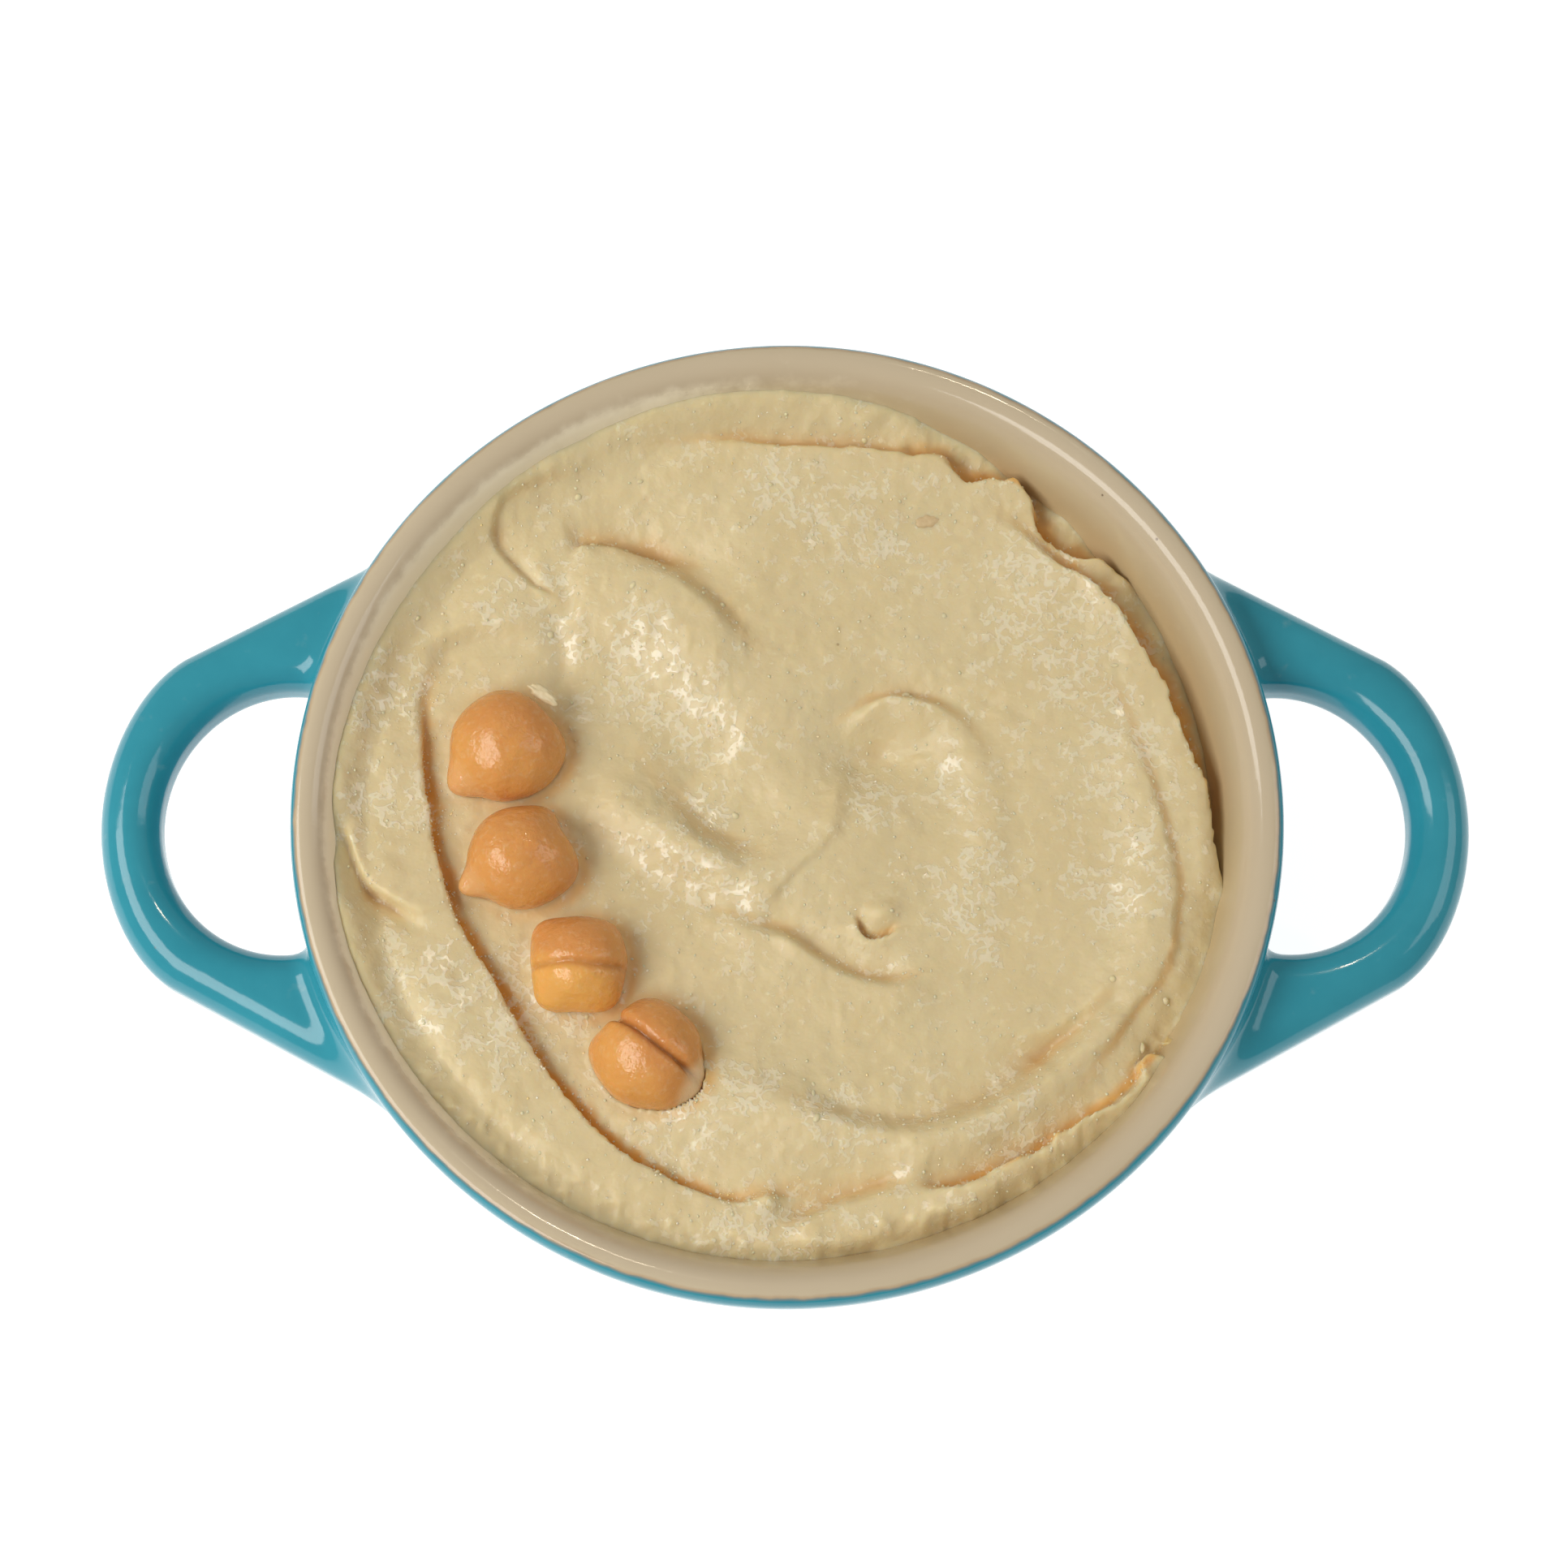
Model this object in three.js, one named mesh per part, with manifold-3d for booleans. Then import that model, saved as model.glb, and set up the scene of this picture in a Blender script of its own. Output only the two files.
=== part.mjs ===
// Hummus in a round glazed dish with two loop handles, finished with spoon swirls and four chickpeas.
// Millimetres, +Z up. The origin is the middle of the foot ring's face, and X runs through the handles.
import * as THREE from 'three';
import { mergeVertices } from 'three/addons/utils/BufferGeometryUtils.js';
import Module from 'manifold-3d';

const wasm = await Module();
wasm.setup();

// ---------------------------------------------------------------- driving dimensions

const GAP = 0.3; // clearance between the solids that touch in the real dish

const DISH = {
  height: 50,
  rimRadius: 53.3, // outside of the rolled lip
  outerRoll: 2.1, // height of the lip's roll on its outer side
  lipCrest: 51.8, // radius at the very top of the lip
  innerRoll: 3.0, // height of the lip's roll on its inner side
  mouthRadius: 48.8, // where the lip's roll ends and the inner wall begins
  floorThickness: 4.6,
  wallInset: 9.5, // how far the inner wall leans in from the mouth to the floor corner
  cornerRadius: 7,
  wallThickness: 4.4,
  footOuter: 36,
  footInner: 31.5,
  footRecess: 1.6,
  segments: 64,
};

const HANDLE = {
  middle: 41, // height of its middle plane
  thickness: 8.6,
  rounding: 2.6,
  tip: 74.8,
  shoulderX: 66.5,
  shoulderY: 18.4,
  sideSlope: 0.54,
  rootX: 36,
  holeX: 54.5,
  holeRadiusX: 13.7,
  holeRadiusY: 14.8,
};

const HUMMUS = {
  level: 42.2, // height of the surface at the middle, before the spoon marks
  dish: 2, // how much higher the plain surface stands at the wall
  rings: 22, // square rings of the surface grid
  finestEdge: 0.9, // half-width of the sharpest step that the grid can carry
};

// Where the hummus is smeared up the wall, or falls short of it. Angles in degrees from +X.
const BANKS = [
  { name: 'far smear', angle: 97, spread: 40, rise: 2.4, start: 43.5 },
  { name: 'left wall', angle: 195, spread: 62, rise: 2.7, start: 45.2 },
  { name: 'near left', angle: -125, spread: 30, rise: -1.4, start: 43.5 },
  { name: 'near wall', angle: -70, spread: 38, rise: -2.4, start: 45.5 },
  { name: 'right gap', angle: 10, spread: 36, rise: -2.2, start: 44 },
];

// Spoon marks. Going along the points, the surface stands up by `lip` on the left hand and drops by
// `groove` on the right hand. `reach` and `foot` are the widths of the two sides, `edge` half the width
// of the step between them, and `fade` the shares of the length over which it starts and ends.
const STROKES = {
  fold: {
    points: [[9, -39.2], [3, -41], [-2, -41.3], [-7, -41.8], [-18, -37], [-25.3, -29.2], [-31.3, -19.5],
      [-36.5, -10.5], [-39.2, -1], [-40.2, 9], [-39.8, 16], [-36.5, 20.7]],
    lip: 1.7, reach: 9, groove: 0.6, foot: 1.5, edge: 0.25, fade: [0.3, 0.22],
  },
  foldSplit: {
    points: [[-47.7, 2.5], [-47.3, -2.5], [-45.2, -7.6], [-41, -10.5], [-36.8, -12.6]],
    lip: 0.6, reach: 5, groove: 1.7, foot: 2.2, edge: 0.6, fade: [0.3, 0.3],
  },
  outerEdge: {
    points: [[40, 25], [36.5, 29.3], [33, 30.2], [29.5, 32.3], [27.8, 34.5], [27.3, 37.3], [24.5, 38.8],
      [20.5, 39.4], [16, 42], [8, 42.7]],
    lip: 0.3, reach: 3, groove: 3, foot: 6, edge: 0.4, fade: [0.15, 0.4],
  },
  farSeam: {
    points: [[22, 39.5], [15, 42.2], [8, 42.7], [0, 43], [-6, 43.7], [-13, 43.1], [-20, 41.6]],
    lip: 0.9, reach: 5, groove: 0.8, foot: 1.8, edge: 0.55, fade: [0.15, 0.5],
  },
  rightEdge: {
    points: [[47.9, -11], [46.9, -3], [44.5, 7], [41.3, 15.5], [38, 21.8], [34.5, 26], [30, 29.3],
      [26.5, 32.7], [20.5, 37.3]],
    lip: 1, reach: 5, groove: 2.8, foot: 6, edge: 0.3, fade: [0.06, 0.35],
  },
  ringRidge: {
    points: [[4, -39.4], [10, -38.6], [17, -35.8], [24, -31.6], [30, -26.6], [35, -20.5], [38.6, -13.5],
      [39.5, -5], [38, 4], [34.5, 12], [30, 18]],
    lip: 1.7, reach: 3.2, groove: -1.7, foot: 3.2, edge: 0.5, fade: [0.2, 0.4],
  },
  ringLine: {
    points: [[29.5, -30.8], [33.5, -26], [37, -21.5], [40, -17.5], [42, -11], [42, -5], [40.5, 1], [38, 9.5],
      [35, 15.5], [27, 23]],
    lip: 0.3, reach: 2, groove: 0.5, foot: 2.2, edge: 0.7, fade: [0.15, 0.45],
  },
  lowerRight: {
    points: [[18.5, -27.3], [24, -25.4], [28, -23.9], [32, -21.7], [35, -18.7], [38, -15]],
    lip: 0.3, reach: 3, groove: 1.9, foot: 5, edge: 1.1, fade: [0.45, 0.3],
  },
  lowerSeam: {
    points: [[38, -14], [34, -20.5], [29, -25.5], [24, -29.8], [18, -32.8], [12, -33.7], [5, -32.5], [-2, -30],
      [-9, -28.5]],
    lip: 0.9, reach: 4, groove: 1.4, foot: 4, edge: 1.4, fade: [0.2, 0.3],
  },
  channel: {
    points: [[46, -17], [41.5, -24], [35.5, -30.3], [30, -34.2], [25.5, -37.2], [20.8, -39.1], [17.5, -40.3],
      [14.3, -40.4], [12, -39.3]],
    lip: 1.2, reach: 3, groove: 1.5, foot: 3, edge: 0.35, fade: [0.25, 0.12],
  },
  outerRoll: {
    points: [[42, -22], [35.5, -31.5], [29, -36.8], [22, -40.3], [14, -42.8], [6, -44.5], [-2, -46], [-12, -45]],
    lip: 1, reach: 2.6, groove: -1, foot: 2.4, edge: 0.5, fade: [0.2, 0.3],
  },
  nearSeam: {
    points: [[15, -39.2], [9.5, -40.6], [5, -42], [1, -43.8], [-2, -46]],
    lip: 0.7, reach: 3, groove: 1.4, foot: 2.8, edge: 0.9, fade: [0.3, 0.25],
  },
  tongue: {
    points: [[17, -15.5], [21, -10], [23.5, -3], [23, 3.5], [21, 8.5], [17.5, 12.3], [13, 14]],
    lip: 0.7, reach: 5, groove: 0.15, foot: 4, edge: 2.2, fade: [0.4, 0.3],
  },
  tongueTop: {
    points: [[23, 5], [21.5, 8.8], [19, 11.8], [16, 13.6], [12, 14.3], [9, 13.7], [6.5, 12], [3.5, 9]],
    lip: 0.9, reach: 4, groove: 1.2, foot: 2.8, edge: 0.6, fade: [0.55, 0.35],
  },
  tongueSide: {
    points: [[7, 4], [6, 0.2], [3, -3.5], [0, -6.6], [-2, -9.6], [-2.6, -11.5]],
    lip: 0.45, reach: 12, groove: -0.95, foot: 4, edge: 0.6, fade: [0.35, 0.2],
  },
  heel: {
    points: [[17, -15.8], [14.5, -17.2], [11, -17.9], [7, -17], [3, -14.9], [0, -12.6], [-4, -11.3], [-10, -9],
      [-16, -6.2]],
    lip: 1, reach: 5, groove: 0.9, foot: 3, edge: 0.8, fade: [0.2, 0.55],
  },
  hollowRim: {
    points: [[1, -4.6], [-3, -4.2], [-7, -2.9], [-10, -0.9], [-13, 2.2], [-16.5, 6.5], [-21, 10.5]],
    lip: 1.1, reach: 5, groove: 1.1, foot: 5.5, edge: 1.8, fade: [0.3, 0.6],
  },
  hollowBank: {
    points: [[-1, -10.5], [-5, -8.5], [-12, -5.5], [-18, -1.5], [-24, 4]],
    lip: -1.2, reach: 6, groove: -0.9, foot: 5, edge: 3, fade: [0.3, 0.2],
  },
  crest: {
    points: [[-2.5, 15], [-4, 19], [-8, 24.3], [-13, 27.9], [-18, 29.8], [-25, 31]],
    lip: 1.6, reach: 6, groove: 0.4, foot: 5, edge: 1.3, fade: [0.35, 0.4],
  },
  crestSlope: {
    points: [[-2, 5], [-6, 10], [-12, 15.5], [-18, 20], [-28, 23]],
    lip: -1.7, reach: 9, groove: -1.3, foot: 8, edge: 6.5, fade: [0.2, 0.15],
  },
  crestValley: {
    points: [[-26, 32.5], [-20, 32.5], [-14, 31.5], [-8, 30], [-3, 29.5]],
    lip: -0.9, reach: 4, groove: 0.9, foot: 3, edge: 0.5, fade: [0.3, 0.4],
  },
  corner: {
    points: [[-24, 23.5], [-26, 25.3], [-28.5, 27], [-31, 29.3], [-32.7, 32], [-31.5, 36], [-27, 38.8],
      [-20, 40.6]],
    lip: 0.5, reach: 4, groove: 0.4, foot: 1.4, edge: 0.4, fade: [0.15, 0.35],
  },
  troughHead: {
    points: [[-40, 13], [-39, 18.7], [-36, 20.9], [-30, 21.4], [-24.5, 20.5]],
    lip: 0.7, reach: 4.5, groove: 0.5, foot: 3.5, edge: 1.2, fade: [0.35, 0.35],
  },
  collar: {
    points: [[-25, 28], [-24.3, 20], [-24.5, 10]],
    lip: 0.4, reach: 4, groove: 0.5, foot: 3, edge: 1.2, fade: [0.5, 0.5],
  },
};

// Rounded rises and hollows: centre x and y, half-widths, turn in degrees, and height.
const MOUNDS = [
  { name: 'middle hollow', at: [-5, 2.5], size: [7, 5], turn: -35, rise: -1.3 },
  { name: 'valley', at: [10, 8], size: [6.6, 3.9], turn: 0, rise: -3.2 },
  { name: 'near left roll', at: [-38.5, -22], size: [16, 5.5], turn: -57, rise: 1.4 },
  { name: 'far left roll', at: [-44.3, 7], size: [14, 4], turn: 88, rise: 0.6 },
  { name: 'chickpea trough', at: [-31, -6], size: [26, 7], turn: -62, rise: -0.8 },
  { name: 'near bank', at: [-1, -31.5], size: [14, 5], turn: -8, rise: 2.4 },
  { name: 'tongue floor', at: [16, 0], size: [8, 5], turn: 75, rise: -1 },
  { name: 'far right ledge', at: [35.5, 27], size: [5.5, 2.6], turn: -52, rise: 1.6 },
];

// Cooked chickpeas. `across` is the plain round width and `high` the height; `sunk` is how deep the lowest
// point lies under the surface. Bumps are [direction in degrees, rise, width in radians]: the beak, rounded
// corners and dents. The cleft is a groove over the top, along `turn` and `offset` to the left of the middle.
const CHICKPEAS = [
  {
    at: [-30.7, 8], across: 12.2, high: 10.4, sunk: 3.6,
    bumps: [[-140, 1.7, 0.3], [-10, 0.5, 0.5], [40, -0.5, 0.4]],
    cleft: { turn: 60, offset: -3.2, depth: 0.15, width: 0.9 },
  },
  {
    at: [-29, -4.6], across: 11.2, high: 9.8, sunk: 2.6,
    bumps: [[-150, 1.7, 0.26], [58, 0.6, 0.35], [-15, 0.9, 0.5], [30, -0.6, 0.25]],
    cleft: { turn: 25, offset: 1.5, depth: 0.15, width: 0.9 },
  },
  {
    at: [-22.4, -16.3], across: 10.3, high: 9.2, sunk: 2.4,
    bumps: [[137, 0.8, 0.4], [-55, 0.5, 0.4], [-128, 0.6, 0.4], [105, 0.3, 0.4]],
    cleft: { turn: 0, offset: -0.5, depth: 0.3, width: 0.7 },
  },
  {
    at: [-14.9, -26.1], across: 11.5, high: 10, sunk: 4.0,
    bumps: [[175, 0.7, 0.35], [-32, 0.9, 0.35], [-60, 0.5, 0.4], [131, -1.1, 0.3], [85, 0.3, 0.4]],
    cleft: { turn: -35, offset: 1.1, depth: 0.9, width: 0.7 },
  },
];
const CHICKPEA_DETAIL = 4;

const FLECK = { at: [15.9, 34.5], size: [2.6, 1.1, 0.9], turn: 5 }; // a bit of seed coat on the surface

const GLAZE = new THREE.MeshStandardMaterial({ color: 0xe6dcc4, roughness: 0.2, metalness: 0 });
const PASTE = new THREE.MeshStandardMaterial({ color: 0xe3cfa6, roughness: 0.45, metalness: 0 });
const CHICKPEA = new THREE.MeshStandardMaterial({ color: 0xcfa465, roughness: 0.35, metalness: 0 });

// ---------------------------------------------------------------- solids and meshes

// The geometry's own triangles with shared corners merged and collapsed triangles dropped.
function closedMesh(geometry) {
  const bare = geometry.clone();
  bare.deleteAttribute('normal');
  bare.deleteAttribute('uv');
  const merged = mergeVertices(bare, 1e-4);
  const corners = merged.index.array;
  const kept = [];
  for (let i = 0; i < corners.length; i += 3) {
    const [a, b, c] = [corners[i], corners[i + 1], corners[i + 2]];
    if (a !== b && b !== c && c !== a) {
      kept.push(a, b, c);
    }
  }
  return { positions: new Float32Array(merged.attributes.position.array), corners: new Uint32Array(kept) };
}

function solid(geometry) {
  const { positions, corners } = closedMesh(geometry);
  return new wasm.Manifold(new wasm.Mesh({ numProp: 3, vertProperties: positions, triVerts: corners }));
}

function geometryOf(manifold) {
  const mesh = manifold.getMesh();
  const geometry = new THREE.BufferGeometry();
  geometry.setAttribute('position', new THREE.BufferAttribute(mesh.vertProperties, mesh.numProp));
  geometry.setIndex(new THREE.BufferAttribute(mesh.triVerts, 1));
  geometry.computeVertexNormals();
  return geometry;
}

function piece(name, geometry, material) {
  const mesh = new THREE.Mesh(geometry, material);
  mesh.name = name;
  return mesh;
}

// ---------------------------------------------------------------- the dish

const mouthHeight = DISH.height - DISH.innerRoll;
const innerTop = DISH.mouthRadius;
const cornerHeight = DISH.floorThickness + DISH.cornerRadius;
const innerBottom = innerTop - DISH.wallInset;

// Radius of the inner wall at a height between the floor's corner and the mouth.
function innerWall(z) {
  return innerBottom + (DISH.wallInset * (z - cornerHeight)) / (mouthHeight - cornerHeight);
}

function dishBody() {
  const outerTop = innerTop + DISH.wallThickness;
  const outerBottom = innerBottom + DISH.wallThickness;
  const lipFoot = DISH.height - DISH.outerRoll;
  const profile = new THREE.Path();
  profile.moveTo(0, DISH.footRecess);
  profile.lineTo(DISH.footInner - 1, DISH.footRecess);
  profile.lineTo(DISH.footInner, 0);
  profile.lineTo(DISH.footOuter, 0);
  profile.lineTo(DISH.footOuter + 0.9, DISH.footRecess);
  profile.quadraticCurveTo(outerBottom - 0.6, DISH.footRecess + 0.4, outerBottom, cornerHeight - 2);
  profile.lineTo(outerTop - 0.3, mouthHeight - 3);
  profile.quadraticCurveTo(DISH.rimRadius, mouthHeight - 1, DISH.rimRadius, lipFoot);
  profile.quadraticCurveTo(DISH.rimRadius, DISH.height, DISH.lipCrest, DISH.height);
  profile.quadraticCurveTo(innerWall(DISH.height), DISH.height, innerTop, mouthHeight);
  profile.lineTo(innerBottom, cornerHeight);
  profile.quadraticCurveTo(innerBottom - 0.6, DISH.floorThickness, innerBottom - 8, DISH.floorThickness);
  profile.lineTo(0, DISH.floorThickness);
  return new THREE.LatheGeometry(profile.getPoints(4), DISH.segments).rotateX(Math.PI / 2);
}

// One loop handle, its root cut to the round wall that it grows from.
function handle(side) {
  const h = HANDLE;
  const rootY = h.shoulderY + h.sideSlope * (h.shoulderX - h.rootX);
  const outline = new THREE.Shape();
  outline.moveTo(h.rootX, -rootY);
  outline.lineTo(h.shoulderX, -h.shoulderY);
  outline.bezierCurveTo(h.shoulderX + 5, 3.2 - h.shoulderY, h.tip, -7.5, h.tip, 0);
  outline.bezierCurveTo(h.tip, 7.5, h.shoulderX + 5, h.shoulderY - 3.2, h.shoulderX, h.shoulderY);
  outline.lineTo(h.rootX, rootY);
  outline.closePath();
  const hole = new THREE.Path();
  hole.absellipse(h.holeX, 0, h.holeRadiusX, h.holeRadiusY, 0, 2 * Math.PI, true);
  outline.holes.push(hole);
  const bevel = h.thickness / 2 - 0.8;
  const band = new THREE.ExtrudeGeometry(outline, {
    depth: h.thickness - 2 * bevel,
    bevelThickness: bevel,
    bevelSize: h.rounding,
    bevelOffset: -h.rounding,
    bevelSegments: 2,
    curveSegments: 10,
  });
  band.translate(0, 0, h.middle - h.thickness / 2 + bevel);
  if (side < 0) {
    band.rotateZ(Math.PI);
  }
  const keepOut = innerWall(h.middle) + DISH.wallThickness / 2;
  const core = new THREE.CylinderGeometry(keepOut, keepOut, 4 * h.thickness, DISH.segments);
  core.rotateX(Math.PI / 2).translate(0, 0, h.middle);
  return solid(band).subtract(solid(core));
}

function dish() {
  const joined = solid(dishBody()).add(handle(1)).add(handle(-1));
  return piece('dish', geometryOf(joined), GLAZE);
}

// ---------------------------------------------------------------- the hummus surface

function smoothstep(low, high, value) {
  const t = Math.min(1, Math.max(0, (value - low) / (high - low)));
  return t * t * (3 - 2 * t);
}

// The stroke's curve as short straight steps, with the length walked at each of them.
function walk(points) {
  const curve = new THREE.SplineCurve(points.map(([x, y]) => new THREE.Vector2(x, y)));
  const steps = curve.getPoints(8 * (points.length - 1));
  const walked = [0];
  for (let i = 1; i < steps.length; i += 1) {
    walked.push(walked[i - 1] + steps[i].distanceTo(steps[i - 1]));
  }
  return { steps, walked, length: walked[walked.length - 1] };
}

const WALKS = Object.fromEntries(Object.entries(STROKES).map(([name, stroke]) => [name, walk(stroke.points)]));

// Distance from (x, y) to a stroke, positive on its left hand, and the share of its length there.
function nearest({ steps, walked, length }, x, y) {
  let best = { distance: Infinity, share: 0 };
  for (let i = 1; i < steps.length; i += 1) {
    const a = steps[i - 1];
    const [sx, sy] = [steps[i].x - a.x, steps[i].y - a.y];
    const t = Math.min(1, Math.max(0, ((x - a.x) * sx + (y - a.y) * sy) / (sx * sx + sy * sy)));
    const [dx, dy] = [x - a.x - t * sx, y - a.y - t * sy];
    const away = Math.hypot(dx, dy);
    if (away < Math.abs(best.distance)) {
      const hand = sx * dy - sy * dx < 0 ? -1 : 1;
      best = { distance: hand * away, share: (walked[i - 1] + t * (walked[i] - walked[i - 1])) / length };
    }
  }
  return best;
}

function strokeRise(name, x, y) {
  const stroke = STROKES[name];
  const { distance, share } = nearest(WALKS[name], x, y);
  const [start, end] = stroke.fade;
  const strength = (start ? smoothstep(0, start, share) : 1) * (end ? smoothstep(0, end, 1 - share) : 1);
  // A step softens where its stroke fades away.
  const edge = Math.max(stroke.edge, HUMMUS.finestEdge) * (3 - 2 * strength);
  const up = smoothstep(-edge, edge, distance);
  const lip = stroke.lip * Math.exp(-((distance / stroke.reach) ** 2));
  const groove = stroke.groove * Math.exp(-((distance / stroke.foot) ** 2));
  return strength * (up * lip - (1 - up) * groove);
}

function moundRise({ at, size, turn, rise }, x, y) {
  const angle = THREE.MathUtils.degToRad(turn);
  const along = ((x - at[0]) * Math.cos(angle) + (y - at[1]) * Math.sin(angle)) / size[0];
  const across = ((y - at[1]) * Math.cos(angle) - (x - at[0]) * Math.sin(angle)) / size[1];
  return rise * Math.exp(-(along * along) - across * across);
}

function bankRise({ angle, spread, rise, start }, x, y) {
  const away = ((THREE.MathUtils.radToDeg(Math.atan2(y, x)) - angle + 540) % 360) - 180;
  return rise * Math.exp(-((away / spread) ** 2)) * smoothstep(start, innerTop, Math.hypot(x, y));
}

function surface(x, y) {
  let z = HUMMUS.level + HUMMUS.dish * ((x * x + y * y) / (innerTop * innerTop));
  for (const name of Object.keys(STROKES)) {
    z += strokeRise(name, x, y);
  }
  for (const mound of MOUNDS) {
    z += moundRise(mound, x, y);
  }
  for (const bank of BANKS) {
    z += bankRise(bank, x, y);
  }
  return z;
}

// A square grid laid onto a disc, so that its cells keep much the same size out to the wall.
function onDisc(a, b) {
  if (a === 0 && b === 0) {
    return [0, 0];
  }
  const wide = Math.abs(a) > Math.abs(b);
  const radius = wide ? a : b;
  const angle = wide ? (Math.PI / 4) * (b / a) : Math.PI / 2 - (Math.PI / 4) * (a / b);
  return [radius * Math.cos(angle), radius * Math.sin(angle)];
}

// Radius at which the surface meets the leaning wall in the direction (u, v), by halving.
function meetingRadius(u, v) {
  let inside = innerBottom - GAP;
  let outside = innerTop - GAP;
  for (let i = 0; i < 12; i += 1) {
    const radius = (inside + outside) / 2;
    if (innerWall(surface(u * radius, v * radius)) - GAP > radius) {
      inside = radius;
    } else {
      outside = radius;
    }
  }
  return inside;
}

function hummusBody() {
  const n = HUMMUS.rings;
  const positions = [];
  const triangles = [];
  const index = (i, j) => (i + n) * (2 * n + 1) + j + n;
  for (let i = -n; i <= n; i += 1) {
    for (let j = -n; j <= n; j += 1) {
      const [u, v] = onDisc(i / n, j / n);
      const length = Math.hypot(u, v) || 1;
      const radius = meetingRadius(u / length, v / length);
      positions.push(u * radius, v * radius, surface(u * radius, v * radius));
    }
  }
  for (let i = -n; i < n; i += 1) {
    for (let j = -n; j < n; j += 1) {
      const [a, b, c, d] = [index(i, j), index(i + 1, j), index(i + 1, j + 1), index(i, j + 1)];
      if (i * j >= 0 === (i + 0.5) * (j + 0.5) > 0) {
        triangles.push(a, b, d, b, c, d);
      } else {
        triangles.push(a, b, c, a, c, d);
      }
    }
  }
  // The edge of the grid, walked once round, then the side and the bottom hung from it.
  const edge = [];
  for (let k = -n; k < n; k += 1) edge.push(index(k, -n));
  for (let k = -n; k < n; k += 1) edge.push(index(n, k));
  for (let k = n; k > -n; k -= 1) edge.push(index(k, n));
  for (let k = n; k > -n; k -= 1) edge.push(index(-n, k));
  let above = edge;
  const levels = [
    [innerWall(cornerHeight) - GAP, cornerHeight],
    [innerBottom - 2.2 - GAP, DISH.floorThickness + 1.9 + GAP],
    [innerBottom - 8, DISH.floorThickness + GAP],
  ];
  for (const [radius, z] of levels) {
    const below = edge.map((corner, k) => {
      const [x, y] = [positions[3 * corner], positions[3 * corner + 1]];
      const scale = radius / Math.hypot(x, y);
      positions.push(x * scale, y * scale, z);
      return positions.length / 3 - 1;
    });
    for (let k = 0; k < edge.length; k += 1) {
      const next = (k + 1) % edge.length;
      triangles.push(above[k], below[k], above[next], above[next], below[k], below[next]);
    }
    above = below;
  }
  positions.push(0, 0, DISH.floorThickness + GAP);
  const middle = positions.length / 3 - 1;
  for (let k = 0; k < edge.length; k += 1) {
    triangles.push(above[k], middle, above[(k + 1) % edge.length]);
  }
  const geometry = new THREE.BufferGeometry();
  geometry.setAttribute('position', new THREE.Float32BufferAttribute(positions, 3));
  geometry.setIndex(triangles);
  return geometry;
}

// ---------------------------------------------------------------- the chickpeas

// A chickpea: a slightly flat ball with its beak, corners and cleft, `grown` larger all round.
function chickpeaBody(pea, grown = 0) {
  const geometry = new THREE.IcosahedronGeometry(1, CHICKPEA_DETAIL);
  const ball = geometry.attributes.position;
  const round = new THREE.Vector3(pea.across / 2 + grown, pea.across / 2 + grown, pea.high / 2 + grown);
  const cleftTurn = THREE.MathUtils.degToRad(pea.cleft.turn);
  const n = new THREE.Vector3();
  const point = new THREE.Vector3();
  for (let i = 0; i < ball.count; i += 1) {
    n.fromBufferAttribute(ball, i).normalize();
    point.copy(n).multiply(round);
    const left = point.y * Math.cos(cleftTurn) - point.x * Math.sin(cleftTurn) - pea.cleft.offset;
    let rise = -pea.cleft.depth * Math.exp(-((left / pea.cleft.width) ** 2)) * smoothstep(-0.2, 0.5, n.z);
    for (const [direction, height, width] of pea.bumps) {
      const turn = THREE.MathUtils.degToRad(direction);
      const away = Math.acos(Math.min(1, n.x * Math.cos(turn) + n.y * Math.sin(turn)));
      rise += height * Math.exp(-((away / width) ** 2));
    }
    point.addScaledVector(n, rise);
    ball.setXYZ(i, point.x, point.y, point.z);
  }
  const [x, y] = pea.at;
  return geometry.translate(x, y, surface(x, y) - pea.sunk + pea.high / 2);
}

function fleckBody() {
  const [x, y] = FLECK.at;
  const geometry = new THREE.SphereGeometry(0.5, 8, 6);
  geometry.rotateX(Math.PI / 2).scale(...FLECK.size).rotateZ(THREE.MathUtils.degToRad(FLECK.turn));
  return geometry.translate(x, y, surface(x, y) + 0.1);
}

function hummus() {
  let body = solid(hummusBody()).add(solid(fleckBody()));
  for (const pea of CHICKPEAS) {
    body = body.subtract(solid(chickpeaBody(pea, GAP)));
  }
  return piece('hummus', geometryOf(body), PASTE);
}

// ---------------------------------------------------------------- the whole part

const group = new THREE.Group();
group.add(dish());
group.add(hummus());
CHICKPEAS.forEach((pea, i) => {
  group.add(piece(`chickpea_${i + 1}`, geometryOf(solid(chickpeaBody(pea))), CHICKPEA));
});

export default group;
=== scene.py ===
# %% [markdown]
# # Hummus in a two-handled dish
# A small round dish, cream glaze inside and teal outside, filled with hummus that a spoon has swirled,
# and finished with a short row of cooked chickpeas. The solids are already made; here each one gets
# the surface that the eye sees. Lengths are written in millimetres and become metres in the meshes.

# %% Open the frame
import math
import bpy
import numpy as np
from mathutils import Matrix, Vector


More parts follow.
